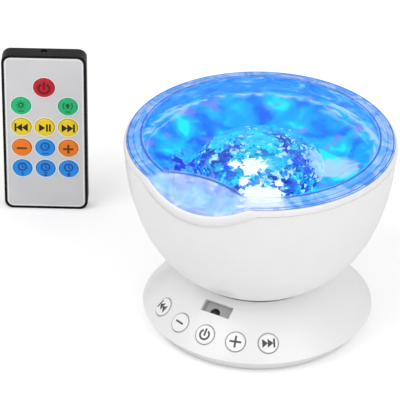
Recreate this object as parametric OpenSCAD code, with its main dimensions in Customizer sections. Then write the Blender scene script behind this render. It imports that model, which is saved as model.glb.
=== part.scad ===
// Ocean wave projector: a tilting lamp bowl in a low round base, with its remote handset.
// Millimetres, +Z up. The origin is on the base's axis, on the surface that the feet stand on.
// The row of buttons faces -Y.

/* [Base] */
// Radius of the base at its widest edge
base_r = 56.2; // [54:0.1:58]
// Height of the widest edge above the table
base_edge_z = 7.6; // [6.6:0.1:8.6]
// Radius of the bottom edge
base_foot_r = 50.7; // [49:0.1:52]
// Radius of the dome's profile curve
dome_arc = 86; // [80:1:110]
// Radius of the neck opening that the bowl sinks into
neck_r = 33; // [32:0.1:34]
// Wall of the base shell
base_wall = 2.2; // [1.8:0.1:2.6]
// Thickness of the bottom plate
plate_t = 2.0; // [1.6:0.1:2.4]
// Height that the rubber feet stand proud
foot_h = 1.0; // [0.8:0.1:1.4]
// Diameter of a rubber foot
foot_d = 9; // [7:0.5:10]

/* [Base buttons] */
// Radius of the ring that the five buttons sit on
button_ring = 49.6; // [48.6:0.1:50.4]
// Angle between neighbouring buttons
button_step = 18.2; // [17:0.1:20]
// Diameter of a button cap
button_d = 9.3; // [8.4:0.1:10]
// Height that a cap stands proud of the shell
button_proud = 0.5; // [0.3:0.1:0.8]
// Travel of a button
button_travel = 0.5; // [0.3:0.05:0.5]
// Width of the receiver window above the buttons
window_w = 15.5; // [13:0.5:17]
// Height of the receiver window along the slope
window_h = 6.1; // [5.2:0.1:6.6]
// Radius of the ring that the window is centred on
window_ring = 38.9; // [38.2:0.1:39.4]

/* [Bowl] */
// Radius of the bowl's round underside
bowl_r = 61.5; // [60.5:0.1:62.5]
// Height of the bowl's lowest point above the table
bowl_lift = 18.5; // [18:0.1:19.5]
// Angle from straight down at which the round underside ends
sphere_end = 67.5; // [66:0.5:69]
// Wall of the bowl
bowl_wall = 2.6; // [2.4:0.1:2.8]
// Tilt of the bowl each way
tilt_range = 20; // [5:1:20]

/* [Rim and cover] */
// Height of the white rim's top above the bowl's centre
rim_rise = 19.6; // [19:0.1:20.6]
// Height of the white band
rim_h = 3.6; // [3.2:0.1:4.2]
// How far the rim's outside lies beyond the radius of the round underside
rim_flare = 4.0; // [3.9:0.1:4.5]
// Radial thickness of the white rim
rim_t = 1.55; // [1.4:0.05:1.6]
// Radius of the sweeping dip in the front of the rim
dip_arc = 135; // [120:1:150]
// Slope of the dip
dip_slope = 32; // [29:0.5:34]
// Depth of the dip below the rim's top at the front
dip_depth = 7.8; // [6.4:0.1:8.2]
// Wall of the blue cover
cover_wall = 1.6; // [1.4:0.1:1.8]
// Distance of the ring line moulded into the cover from the rim's outside
ring_inset = 7.6; // [6.5:0.1:9.5]
// Height of the cover at that ring line above the rim's top
ring_rise = 1.4; // [1:0.1:2]
// Rise of the cover from the ring line to its middle
cover_rise = 2.6; // [1.6:0.1:3.2]

/* [Wave drive] */
// Gear module
gear_m = 0.8; // [0.78:0.01:0.82]
// Teeth of the wave disc's gear
disc_teeth = 76; // [75:1:77]
// Teeth of the idler
idler_teeth = 20; // [19:1:21]
// Teeth of the motor pinion
pinion_teeth = 12; // [12:1:13]
// Height of the teeth along the axis
gear_h = 4.0; // [3.6:0.1:4.2]
// Depth of the gears' undersides below the bowl's centre
gear_drop = 4.5; // [4:0.1:5]
// Diameter of the steel axle
axle_d = 3.0; // [2.6:0.1:3.2]
// Radius of the crystal dome
crystal_r = 31; // [29:0.5:31.5]
// Rise of the crystal dome
crystal_rise = 14; // [12:0.5:14.5]
// Flat facets round the crystal dome
crystal_facets = 18; // [16:1:20]
// Light sources round the board
led_count = 12; // [8:1:12]
// Radius of the ring of light sources
led_ring = 14; // [13:0.5:16]

/* [Remote] */
// Width of the handset
remote_w = 43; // [42:0.1:44]
// Height of the handset
remote_h = 90.5; // [89:0.1:92]
// Thickness of the handset
remote_t = 8.0; // [8:0.1:8.4]
// Corner radius of the handset
remote_corner = 4.5; // [3.5:0.1:5.5]
// Width of the black rim round its face
remote_rim = 1.3; // [1:0.1:1.6]
// Diameter of a key
key_d = 9.7; // [9:0.1:9.9]
// Diameter of the red key at the top
power_key_d = 10.6; // [10:0.1:11]
// Sideways pitch of the keys
key_pitch_x = 11.9; // [11.6:0.1:12.1]
// Lengthways pitch of the key rows
key_pitch_z = 12.33; // [12.1:0.01:12.6]
// Distance from the top end to the red key
key_top = 18.3; // [17.5:0.1:19]
// Height that a key stands proud
key_proud = 0.8; // [0.5:0.1:1]
// Travel of a key
key_travel = 0.35; // [0.2:0.05:0.35]
// Distance of the handset to the side of the projector
remote_aside = 110.3; // [104:0.1:118]
// Distance of the handset behind the projector's middle
remote_behind = 95; // [85:1:105]
// Turn of the handset towards the viewer
remote_turn = 29.7; // [20:0.1:40]

/* [Hidden] */

$fn = 96;
big = 200;
eps = 0.01;

shell_white = [0.93, 0.93, 0.93];
cover_blue = [0.15, 0.45, 1.0, 0.55];
crystal_blue = [0.2, 0.85, 1.0, 0.8];
board_green = [0.1, 0.35, 0.2];
steel = [0.7, 0.7, 0.72];
dark = [0.08, 0.08, 0.09];
nylon = [0.88, 0.86, 0.8];

// Clearances
seat_gap = 0.1;        // between pieces that are screwed or clipped together
moving_gap = 0.4;      // between pieces that move past each other
running_gap = 0.05;    // radial clearance of a shaft in its bore
press_gap = 0.02;      // round a pin that is pressed home
cap_gap = 0.25;        // radial clearance round a button cap or key

// Base
plate_top = foot_h + plate_t;
bowl_z = bowl_lift + bowl_r;
dish_in = bowl_r + moving_gap;
neck_z = bowl_z - sqrt(pow(dish_in, 2) - pow(neck_r, 2));
dome_c = circle_centre([base_r, base_edge_z], [neck_r, neck_z], dome_arc);
lip_h = 1.8;
lip_t = 1.4;

// Screws shared by the base and the cradle
screw_d = 2.5;
screw_len = 6.4;
screw_head_r = 2.5;
screw_head_h = 1.3;
screw_recess = 0.3;
screw_hole_r = screw_d / 2 + 0.35;
pilot_r = screw_d / 2 + running_gap;
post_r = 3.2;
cover_boss_h = 1.2;
cover_slope = plate_t * 0.9;
post_ring = base_foot_r - 5.7;
post_angles = [-78, 78, -128, 128];
screw_seat_z = foot_h + screw_recess + screw_head_h;
foot_ring = base_foot_r - 8.7;
foot_angles = [-40, 40, -155, 155];
foot_sink = 0.6;

// Tilt cradle
dish_wall = 2.0;
dish_out = dish_in + dish_wall;
cradle_r = neck_r - moving_gap;
cradle_wall = 2.0;
ear_ring = 38;
ear_t = 2.0;
ear_drop = 10.2;
ear_z = dome_height(ear_ring) - ear_drop;
ear_angles = [60, 180, 300];
stem_r = 4;
slot_half = dish_out * sin(tilt_range) + stem_r + moving_gap;
slot_r = stem_r + moving_gap;
washer_r = 7.5;
washer_t = 1.2;
washer_in = dish_out + 0.3;
spring_r = 5.5;
spring_t = 0.4;
spring_dish = 0.6;
tilt_head_r = 3.2;
tilt_head_h = 1.5;
washer_low = bowl_z - washer_in - washer_t;
spring_low = washer_low - seat_gap - spring_dish - spring_t;
tilt_head_top = spring_low - seat_gap;
tilt_screw_len = 12;
tilt_boss_r = 4.5;

// Speaker, in the front half of the base
speaker_y = -18;
speaker_r = 18;
speaker_flange_t = 1.2;
speaker_flange_w = 2.6;
speaker_basket_r = 13;
speaker_depth = 4.6;
speaker_magnet_r = 10;
speaker_magnet_h = 2.2;
speaker_z = plate_top + seat_gap;
speaker_wall = 0.8;
grille_r = 13.5;
grille_slots = 7;
grille_slot_w = 1.5;

// Main board, in the rear half of the base
board_t = 1.6;
board_z = 7.4;
board_r = 49.6;
board_front = 4;
board_half = 30;
standoff_r = 2.4;
standoff_x = 22;
standoff_ys = [9, 32];
port_face_z = board_z + board_t;
usb_w = 7.6;
usb_h = 2.8;
usb_len = 6.5;
usb_t = 0.35;
aux_x = 15;
aux_r = 1.84;
aux_body_w = 6.4;
aux_body_h = 5.0;
aux_len = 13;
aux_nose_r = 2.9;
aux_nose_len = 4.5;
card_x = -15;
card_w = 14;
card_h = 2.0;
card_len = 15;
card_mouth_w = 11.4;
card_mouth_h = 1.1;
port_inset = 0.5;      // how far a port's face lies inside the base's outer wall
port_cut = 30;

// Buttons
button_angles = [for (i = [-2:2]) i * button_step];
button_flange_r = button_d / 2 + 0.9;
button_flange_t = 0.8;
button_flange_z = -base_wall - 0.7;
button_stem_r = 1.2;
button_stem_len = 1.6;
button_edge = 0.35;
button_foot = button_flange_z - button_flange_t - button_stem_len;
switch_top = button_foot - button_travel - 0.1;
switch_plunger_r = 1.4;
switch_plunger_h = 0.7;
switch_w = 5.2;
switch_h = 2.6;
strip_t = 1.0;
strip_half = 4.0;
strip_end = 8;
strip_leg_gap = 2.8;
strip_top = switch_top - switch_plunger_h - switch_h;
button_slope = dome_slope(button_ring);

// Receiver window and pocket
pocket_wall = 0.8;
pocket_floor = -4.2;
pocket_margin = 1.0;
eye_r = 2.4;
eye_x = -1.4;
eye_down = 1.6;
eye_rise = 0.9;
eye_body = [5.2, 4.4, 2.4];
window_slope = dome_slope(window_ring);

// Bowl
rim_r = bowl_r + rim_flare;
rim_top = bowl_z + rim_rise;
rim_step = 0.4;
wall_start = arc_point([0, bowl_z], bowl_r, sphere_end);
wall_arc = (rim_r - rim_step - wall_start[0]) / (1 - sin(sphere_end));
wall_c = [wall_start[0] - wall_arc * sin(sphere_end), wall_start[1] + wall_arc * cos(sphere_end)];
rim_in = rim_r - rim_t;
rim_low = rim_top - rim_h;
rim_round = 1.3;
bowl_lip = 2.8;
bowl_top = rim_top - bowl_lip;
dip_z = rim_top - dip_depth;
dip_drop = 3.9;
skirt_h = 8;
dip_skirt = dip_z - skirt_h;
ledge_count = 6;
ledge_drop = 3.9;
ledge_top = dip_z - ledge_drop;
ledge_h = 7;
ledge_w = 2.5;
ledge_reach = 1.5;

// Cover
cover_ring_r = rim_r - ring_inset;
cover_ring_z = rim_top + ring_rise;
cover_r = rim_in - seat_gap;
cover_skirt = 1.4;
cover_edge_z = rim_top - 0.1;
cover_crown = dome_rise_radius(cover_ring_r, cover_rise);
cover_groove = 0.35;

// Chassis inside the bowl
gear_z = bowl_z - gear_drop;
deck_drop = 10.5;
deck_z = gear_z - deck_drop;
deck_t = 2;
deck_r = 47;
post_count = 3;
bowl_post_ring = 36;
bowl_post_r = 3.5;
bowl_post_turn = 90;
deck_screw_len = 8;
deck_head_h = 1.5;
board_gap = 1.2;
led_board_z = deck_z + deck_t + board_gap;
led_board_r = 23;
led_board_t = 1.6;
led_r = 2.5;
led_h = 2.0;
spacer_r = 2.2;
spacer_ring = 19.5;
hub_r = 5;
axle_r = axle_d / 2;
axle_head_r = 2.6;
axle_head_h = 1.0;
axle_sink = 8;
boss_r = 3.2;
boss_top = gear_z - 0.3;
hub_top = gear_z + gear_h + 0.4;
spoke_w = 3;
spoke_t = 1.0;
spoke_count = 3;
ring_in = 27;

// Gears
pressure_angle = 20;
gear_add = 0.8;
gear_ded = 1.2;
backlash = 0.16;
disc_pitch = gear_m * disc_teeth / 2;
idler_pitch = gear_m * idler_teeth / 2;
pinion_pitch = gear_m * pinion_teeth / 2;
idler_dir = 0;
pinion_dir = 100;
idler_pos = polar(disc_pitch + idler_pitch + 0.1, idler_dir);
pinion_pos = idler_pos + polar(idler_pitch + pinion_pitch + 0.1, pinion_dir);
idler_turn = mesh_turn(disc_teeth, 0, idler_teeth, idler_dir);
pinion_turn = mesh_turn(idler_teeth, idler_turn, pinion_teeth, pinion_dir);
idler_pin_r = 1.75;
motor_r = 12;
motor_h = 13;
motor_shift = 6;
motor_nose_r = 3.0;
motor_shaft_r = 1.0;
motor_shaft_sink = 5;
motor_top = deck_z - seat_gap;
motor_pos = pinion_pos - polar(motor_shift, atan2(pinion_pos[1], pinion_pos[0]));

// Wave disc
disc_out = ring_in - 0.2;
disc_in = hub_r + 0.5;
disc_base = gear_z + spoke_t + seat_gap;
disc_mid = 1.6;
ripple = 0.45;
disc_rings = 14;
disc_steps = 60;

// Reflector and crystal
reflector_gap = 0.3;
reflector_r = wall_in(ledge_top) - reflector_gap;
ledge_in = reflector_r - ledge_reach;
reflector_t = 1.5;
reflector_rim_z = ledge_top + 0.1;
reflector_in = crystal_r - 0.2;
dish_depth = 6.4;
reflector_in_z = ledge_top - dish_depth;
reflector_rim_w = 4;
crystal_flange = 2.2;
crystal_flange_t = 1.2;
crystal_z = reflector_in_z + reflector_t + seat_gap;
crystal_wall = 0.88;
crystal_rows = 6;
crystal_jitter = 0.045;

// Remote, in its own frame: the face looks along -Y and the lower end stands on Z = 0
half_t = remote_t / 2;
plate_front_t = 1.4;
face_t = 0.35;
face_y = -half_t + 0.05;
front_y = face_y + face_t + press_gap;
front_back = front_y + plate_front_t;
key_flange_t = 0.5;
key_flange_y = front_back + 0.2;
key_flange_w = 0.8;
dome_h = 0.3;
sheet_t = 0.2;
sheet_y = key_flange_y + key_flange_t + key_travel + 0.1 + dome_h;
remote_board_t = 1.0;
remote_board_y = sheet_y + sheet_t;
back_t = 1.2;
back_in = half_t - back_t;
side_t = 1.4;
board_margin = side_t + 0.5;
remote_post_r = 1.6;
cell_r = 10;
cell_t = 1.6;
cell_z = 22;
cell_y = back_in - 0.3 - cell_t;
cap_r = 12;
cap_lug_r = 13.4;
cap_lug_t = 0.45;
cap_lug_w = 4;
cap_lugs = 3;
cap_turn = 45;
bay_r = cap_lug_r + moving_gap;
bay_wall = 1.0;
coin_slot = [13, 1.6, 0.6];
ir_led_r = 1.5;
ir_led_len = 6;
ir_led_y = back_in - ir_led_r - 0.2;
column = key_pitch_x;
row_z = [for (i = [0:4]) remote_h - key_top - (i == 0 ? 0 : key_pitch_z * i - 1.45)];

// A point on a circle in the profile plane, at an angle from straight down
function arc_point(c, r, a) = [c[0] + r * sin(a), c[1] - r * cos(a)];
// Points along an arc, with angles measured from straight down
function arc(c, r, a0, a1, n) = [for (i = [0:n]) arc_point(c, r, a0 + (a1 - a0) * i / n)];
// Angle from straight down of a point seen from a centre
function down_angle(c, p) = atan2(p[0] - c[0], c[1] - p[1]);
// Centre of the circle of radius r through p and q, on the side of the axis
function circle_centre(p, q, r) =
    let (d = q - p, len = norm(d), h = sqrt(r * r - len * len / 4))
    (p + q) / 2 + [-d[1], d[0]] * h / len;
function dome_height(r) = dome_c[1] + sqrt(pow(dome_arc, 2) - pow(r - dome_c[0], 2));
function dome_slope(r) = atan2(dome_height(r) - dome_c[1], r - dome_c[0]);
// Radius of the shell's inner face at a height
function inner_r(z) = dome_c[0] + sqrt(pow(dome_arc - base_wall, 2) - pow(z - dome_c[1], 2));
// Radius of the bowl wall's inner face at a height
function wall_in(z) = wall_c[0] + sqrt(pow(wall_arc - bowl_wall, 2) - pow(wall_c[1] - z, 2));
function dome_rise_radius(r, rise) = (r * r + rise * rise) / (2 * rise);
function polar(r, a) = [r * cos(a), r * sin(a)];
// Position at a radius and an angle counted from the front towards the right
function front_polar(r, a) = [r * sin(a), -r * cos(a)];
// Turn of gear b that meshes with gear a, where b lies in direction dir from a
function mesh_turn(na, turn_a, nb, dir) = dir + 180 + 180 / nb + (dir - turn_a) * na / nb;
function involute(a) = tan(a) - a * PI / 180;
function tooth_half(n, r) =
    let (rp = gear_m * n / 2, rb = rp * cos(pressure_angle))
    (PI / (2 * n) - backlash / (4 * rp) * 2 + involute(pressure_angle)
    - (r > rb ? involute(acos(rb / r)) : 0)) * 180 / PI;
function rounded_rect(w, h, r) = [
    for (c = [[w / 2 - r, r, -90], [w / 2 - r, h - r, 0], [r - w / 2, h - r, 90], [r - w / 2, r, 180]])
    for (i = [0:8]) [c[0] + r * cos(c[2] + i * 90 / 8), c[1] + r * sin(c[2] + i * 90 / 8)]
];

// Frame on the dome's surface, with +Z along the outward normal and +Y up the slope
module on_dome(ring, angle) {
    place = front_polar(ring, angle);
    translate([place[0], place[1], dome_height(ring)])
        rotate([0, 0, angle])
            rotate([90 - dome_slope(ring), 0, 0])
                children();
}

module at_front_polar(r, angles) {
    for (a = angles)
        translate(front_polar(r, a)) children();
}

// Everything above the sweeping dip, lowered by drop measured square to its slope
module above_dip(drop) {
    translate([0, -rim_in, dip_z])
        rotate([dip_slope, 0, 0])
            translate([0, 0, dip_arc - drop])
                rotate([90, 0, 0])
                    cylinder(r = dip_arc, h = big, center = true, $fn = 180);
}

module above(z) {
    translate([-big / 2, -big / 2, z]) cube([big, big, big]);
}

module spur(n, h, bore) {
    rp = gear_m * n / 2;
    rb = rp * cos(pressure_angle);
    root = rp - gear_ded * gear_m;
    tip = rp + gear_add * gear_m;
    radii = [root, max(root + 0.2, (rb + rp) / 2), rp, tip];
    linear_extrude(h)
        difference() {
            polygon([
                for (i = [0:n - 1])
                for (k = [0:7]) let (
                    j = k < 4 ? k : 7 - k,
                    side = k < 4 ? -1 : 1,
                    a = i * 360 / n + side * tooth_half(n, radii[j])
                ) polar(radii[j], a)
            ]);
            circle(r = bore);
        }
}

module base_shell() {
    inner_end = down_angle(dome_c, [inner_r(base_edge_z), base_edge_z]);
    a0 = down_angle(dome_c, [base_r, base_edge_z]);
    a1 = down_angle(dome_c, [neck_r, neck_z]);
    color(shell_white)
    union() {
        difference() {
            rotate_extrude()
                polygon(concat(
                    arc(dome_c, dome_arc, a0, a1, 14),
                    arc(dome_c, dome_arc - base_wall, a1, inner_end, 14)
                ));
            translate([0, 0, -eps]) cylinder(r = neck_r, h = big);
            for (a = button_angles)
                on_dome(button_ring, a)
                    translate([0, 0, -base_wall * 2])
                        cylinder(r = button_d / 2 + cap_gap, h = base_wall * 4, $fn = 64);
            on_dome(window_ring, 0)
                cube([window_w, window_h, base_wall * 3], center = true);
            rear_ports_cut();
        }
        shell_posts();
    }
}

module inside_dome(inset) {
    a0 = down_angle(dome_c, [base_r, base_edge_z]);
    a1 = down_angle(dome_c, [neck_r, neck_z]);
    rotate_extrude()
        polygon(concat(
            [[neck_r, 0], [base_r - inset, 0]],
            arc(dome_c, dome_arc - inset, a0, a1, 14)
        ));
}

module shell_posts() {
    difference() {
        intersection() {
            union() {
                at_front_polar(post_ring, post_angles)
                    translate([0, 0, plate_top + cover_boss_h + seat_gap]) cylinder(r = post_r, h = big);
                at_front_polar(ear_ring, ear_angles)
                    translate([0, 0, ear_z + ear_t + seat_gap]) cylinder(r = post_r, h = big);
            }
            inside_dome(base_wall / 2);
        }
        at_front_polar(post_ring, post_angles)
            cylinder(r = pilot_r, h = screw_seat_z + screw_len + 1, $fn = 48);
        at_front_polar(ear_ring, ear_angles)
            cylinder(r = pilot_r, h = ear_z + screw_len + 0.4, $fn = 48);
    }
}

function wall_y(x, z) = sqrt(pow(base_out(z), 2) - x * x);
function base_out(z) = dome_c[0] + sqrt(pow(dome_arc, 2) - pow(z - dome_c[1], 2));

module rear_ports_cut() {
    translate([-usb_w / 2 - 0.4, board_r - 10, port_face_z - 0.3])
        cube([usb_w + 0.8, port_cut, usb_h + 0.7]);
    translate([aux_x, board_r - 10, port_face_z + aux_body_h / 2])
        rotate([-90, 0, 0]) cylinder(r = aux_nose_r + 0.3, h = port_cut, $fn = 64);
    translate([card_x - card_w / 2 - 0.3, board_r - 10, port_face_z - 0.3])
        cube([card_w + 0.6, port_cut, card_h + 0.6]);
}

module tilt_cradle() {
    rim_z = bowl_z - sqrt(pow(dish_in, 2) - pow(cradle_r, 2));
    color(shell_white)
    difference() {
        union() {
            difference() {
                translate([0, 0, ear_z]) cylinder(r = cradle_r, h = rim_z + 1 - ear_z);
                difference() {
                    cylinder(r = cradle_r - cradle_wall, h = bowl_z);
                    translate([0, 0, bowl_z]) sphere(r = dish_out);
                }
            }
            for (a = ear_angles)
                rotate([0, 0, a]) {
                    translate([-post_r - 0.8, -ear_ring, ear_z])
                        cube([2 * post_r + 1.6, ear_ring - cradle_r + 1, ear_t]);
                    translate([0, -ear_ring, ear_z]) cylinder(r = post_r + 0.8, h = ear_t);
                }
        }
        translate([0, 0, bowl_z]) sphere(r = dish_in);
        translate([-slot_r, -slot_half, 0]) cube([2 * slot_r, 2 * slot_half, bowl_z]);
        at_front_polar(ear_ring, ear_angles)
            cylinder(r = screw_hole_r, h = bowl_z, $fn = 48);
    }
}

module bottom_cover() {
    lip_out = inner_r(base_edge_z + lip_h) - seat_gap;
    color(shell_white)
    difference() {
        union() {
            rotate_extrude()
                polygon([
                    [0, foot_h], [base_foot_r, foot_h], [base_r - 0.4, base_edge_z - seat_gap],
                    [lip_out, base_edge_z - seat_gap], [lip_out, base_edge_z + lip_h],
                    [lip_out - lip_t, base_edge_z + lip_h], [lip_out - lip_t, base_edge_z - cover_slope],
                    [base_foot_r - cover_slope, plate_top], [0, plate_top]
                ]);
            at_front_polar(post_ring, post_angles)
                translate([0, 0, plate_top - eps]) cylinder(r = post_r + 0.6, h = cover_boss_h + eps);
            for (x = [-standoff_x, standoff_x], y = standoff_ys)
                translate([x, y, plate_top - eps])
                    cylinder(r = standoff_r, h = board_z - plate_top - seat_gap + eps);
        }
        at_front_polar(post_ring, post_angles) {
            cylinder(r = screw_head_r + 0.3, h = screw_seat_z, $fn = 64);
            cylinder(r = screw_hole_r, h = plate_top + cover_boss_h + 1, $fn = 48);
        }
        at_front_polar(foot_ring, foot_angles)
            cylinder(r = foot_d / 2 + seat_gap, h = foot_h + foot_sink, $fn = 64);
        for (i = [0:grille_slots - 1]) {
            x = (i - (grille_slots - 1) / 2) * 2 * grille_r / grille_slots;
            len = sqrt(grille_r * grille_r - x * x);
            translate([x - grille_slot_w / 2, speaker_y - len, 0])
                cube([grille_slot_w, 2 * len, plate_top + 1]);
        }
        shell_lip_relief();
    }
}

// Room in the cover's lip for the shell's posts, the button strip and the ports
module shell_lip_relief() {
    at_front_polar(post_ring, post_angles)
        translate([0, 0, plate_top + cover_boss_h]) cylinder(r = post_r + moving_gap, h = big);
    rear_ports_cut();
    for (a = button_angles)
        on_dome(button_ring, a)
            translate([0, 0, -base_wall * 3]) cylinder(r = button_flange_r + moving_gap, h = base_wall * 4);
}

module rubber_feet() {
    color(dark)
    at_front_polar(foot_ring, foot_angles)
        rotate_extrude($fn = 64)
            polygon([
                [0, 0], [foot_d / 2 - 0.4, 0], [foot_d / 2, 0.4],
                [foot_d / 2, foot_h + foot_sink], [0, foot_h + foot_sink]
            ]);
}

// A pan-head screw pointing up, with its head seated under the given height
module screw(seat_z, head_r, head_h, len) {
    r = screw_d / 2;
    translate([0, 0, seat_z])
        difference() {
            rotate_extrude($fn = 48)
                polygon([
                    [0, -head_h], [head_r - 0.4, -head_h], [head_r, -head_h + 0.4], [head_r, 0],
                    [r, 0], [r, len - 1], [0.3, len], [0, len]
                ]);
            for (a = [0, 90])
                rotate([0, 0, a])
                    translate([-head_r * 0.6, -0.3, -head_h - eps]) cube([head_r * 1.2, 0.6, 0.7]);
        }
}

module base_screws() {
    color(steel) {
        at_front_polar(post_ring, post_angles)
            screw(screw_seat_z, screw_head_r, screw_head_h, screw_len);
        at_front_polar(ear_ring, ear_angles)
            screw(ear_z, screw_head_r, screw_head_h, screw_len);
    }
}

module speaker_frame() {
    z1 = speaker_flange_t;
    z2 = speaker_depth;
    t = speaker_wall;
    color(steel)
    translate([0, speaker_y, speaker_z])
        difference() {
            rotate_extrude()
                polygon([
                    [speaker_r - speaker_flange_w, 0], [speaker_r, 0], [speaker_r, z1],
                    [speaker_r - speaker_flange_w + t, z1], [speaker_basket_r, z2],
                    [speaker_magnet_r * 0.5, z2], [speaker_magnet_r * 0.5, z2 - t],
                    [speaker_basket_r - t, z2 - t], [speaker_r - speaker_flange_w, z1]
                ]);
            for (a = [45:90:315])
                rotate([0, 0, a])
                    translate([speaker_basket_r + 0.9, 0, z2 / 2 + 1]) cube([3, 8, 1.8], center = true);
        }
}

module speaker_cone() {
    r = speaker_r - speaker_flange_w - 0.15;
    color(dark)
    translate([0, speaker_y, speaker_z])
        rotate_extrude()
            polygon([
                [r, 0.2], [r, 0.7], [r - 1.2, 1.2], [r - 2.4, 0.8], [5.0, 3.2], [0, 2.4],
                [0, 2.0], [5.0, 2.8], [r - 2.4, 0.4], [r - 1.2, 0.8]
            ]);
}

module speaker_magnet() {
    color(steel)
    translate([0, speaker_y, speaker_z + speaker_depth + 0.02])
        rotate_extrude()
            polygon([
                [0, 0], [speaker_magnet_r - 0.3, 0], [speaker_magnet_r, 0.3],
                [speaker_magnet_r, speaker_magnet_h - 0.4], [speaker_magnet_r - 0.4, speaker_magnet_h],
                [0, speaker_magnet_h]
            ]);
}

module main_board() {
    color(board_green)
    translate([0, 0, board_z])
        difference() {
            linear_extrude(board_t)
                difference() {
                    intersection() {
                        circle(r = board_r);
                        translate([-board_half, board_front]) square([2 * board_half, big]);
                    }
                    for (a = post_angles)
                        translate(front_polar(post_ring, a)) circle(r = post_r + 1);
                }
            for (x = [-standoff_x, standoff_x], y = standoff_ys)
                translate([x, y, -1]) cylinder(r = 1.1, h = 4, $fn = 32);
        }
}

module usb_port() {
    face = wall_y(usb_w / 2, port_face_z + usb_h) - port_inset;
    color(steel)
    translate([0, face, port_face_z + 0.05])
        difference() {
            translate([-usb_w / 2, -usb_len, 0]) cube([usb_w, usb_len, usb_h]);
            translate([-usb_w / 2 + usb_t, -usb_len + 1, usb_t])
                cube([usb_w - 2 * usb_t, usb_len, usb_h - 2 * usb_t]);
        }
    color(steel)
    translate([-usb_w * 0.3, face - usb_len + 1 - eps, port_face_z + 0.05 + usb_h / 2 - 0.35])
        cube([usb_w * 0.6, usb_len - 2, 0.7]);
}

module aux_jack() {
    face = wall_y(aux_x, port_face_z + aux_body_h) - port_inset;
    color(dark)
    translate([aux_x, face, port_face_z + 0.05 + aux_body_h / 2])
        difference() {
            union() {
                translate([-aux_body_w / 2, -aux_len, -aux_body_h / 2])
                    cube([aux_body_w, aux_len - aux_nose_len, aux_body_h]);
                rotate([90, 0, 0])
                    cylinder(r = aux_nose_r - 0.45, h = aux_nose_len + 1, $fn = 64);
            }
            rotate([90, 0, 0])
                translate([0, 0, -1]) cylinder(r = aux_r, h = aux_len - 1, $fn = 64);
        }
}

module card_slot() {
    face = wall_y(card_x - card_w / 2, port_face_z + card_h) - port_inset;
    color(steel)
    translate([card_x, face, port_face_z + 0.05])
        difference() {
            translate([-card_w / 2, -card_len, 0]) cube([card_w, card_len, card_h]);
            translate([-card_mouth_w / 2, -card_len + 1, (card_h - card_mouth_h) / 2])
                cube([card_mouth_w, card_len, card_mouth_h]);
        }
}

module ir_pocket() {
    w = window_w + 2 * pocket_margin;
    h = window_h + 2 * pocket_margin;
    color([0.55, 0.55, 0.57])
    difference() {
        intersection() {
            on_dome(window_ring, 0)
                translate([-w / 2, -h / 2, pocket_floor]) cube([w, h, base_wall * 2]);
            inside_dome(base_wall + seat_gap);
        }
        on_dome(window_ring, 0) {
            translate([-window_w / 2, -window_h / 2, pocket_floor + pocket_wall])
                cube([window_w, window_h, base_wall * 2]);
            translate([eye_x, -eye_down, pocket_floor - 1]) cylinder(r = eye_r + 0.15, h = 5, $fn = 48);
        }
    }
}

module ir_receiver() {
    color(dark)
    on_dome(window_ring, 0)
        translate([eye_x, -eye_down, pocket_floor]) {
            translate([0, 0, -eye_body[2] / 2 - seat_gap]) cube(eye_body, center = true);
            rotate_extrude($fn = 48)
                polygon(concat(
                    [[0, -1], [eye_r, -1]],
                    [for (a = [0:15:90]) [eye_r * cos(a), pocket_wall + eye_rise * sin(a)]]
                ));
        }
}

module button_strip() {
    half = 2 * button_step + strip_end;
    c = [button_ring, dome_height(button_ring)];
    n = [cos(button_slope), sin(button_slope)];
    t = [-n[1], n[0]];
    top = c + n * strip_top;
    foot = top - t * strip_half - n * strip_t;
    leg_r = base_foot_r - cover_slope - strip_leg_gap;
    color(board_green)
    rotate([0, 0, -90 - half])
        rotate_extrude(angle = 2 * half)
            polygon([
                top + t * strip_half, top + t * strip_half - n * strip_t,
                foot + [-0.6, 0.6], [leg_r - 1.4, plate_top + seat_gap],
                [leg_r, plate_top + seat_gap], foot + [0.8, 0.8],
                top - t * strip_half
            ]);
}

module button_switches() {
    color(dark)
    for (a = button_angles)
        on_dome(button_ring, a) {
            translate([-switch_w / 2, -switch_w / 2, strip_top + 0.25])
                cube([switch_w, switch_w, switch_h - 0.25]);
            translate([0, 0, strip_top + switch_h - eps])
                cylinder(r = switch_plunger_r, h = switch_plunger_h + eps, $fn = 48);
        }
}

module button(angle) {
    r = button_d / 2;
    color(shell_white)
    on_dome(button_ring, angle)
        rotate_extrude($fn = 64)
            polygon([
                [0, button_foot], [button_stem_r, button_foot],
                [button_stem_r, button_flange_z - button_flange_t],
                [button_flange_r, button_flange_z - button_flange_t],
                [button_flange_r, button_flange_z], [r, button_flange_z],
                [r, button_proud - button_edge], [r - button_edge, button_proud],
                [r * 0.5, button_proud + 0.12], [0, button_proud + 0.15]
            ]);
}

module previous_button() { button(button_angles[0]); }
module volume_down_button() { button(button_angles[1]); }
module power_button() { button(button_angles[2]); }
module volume_up_button() { button(button_angles[3]); }
module next_button() { button(button_angles[4]); }

// The bowl's outer profile moved inwards by inset, from its lowest point to a height
module bowl_solid(inset, top) {
    end_a = acos((wall_c[1] - top) / (wall_arc - inset));
    rotate_extrude($fn = 128)
        polygon(concat(
            arc([0, bowl_z], bowl_r - inset, 0, sphere_end, 17),
            arc(wall_c, wall_arc - inset, sphere_end + 2, end_a, 8),
            [[0, top]]
        ));
}

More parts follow.
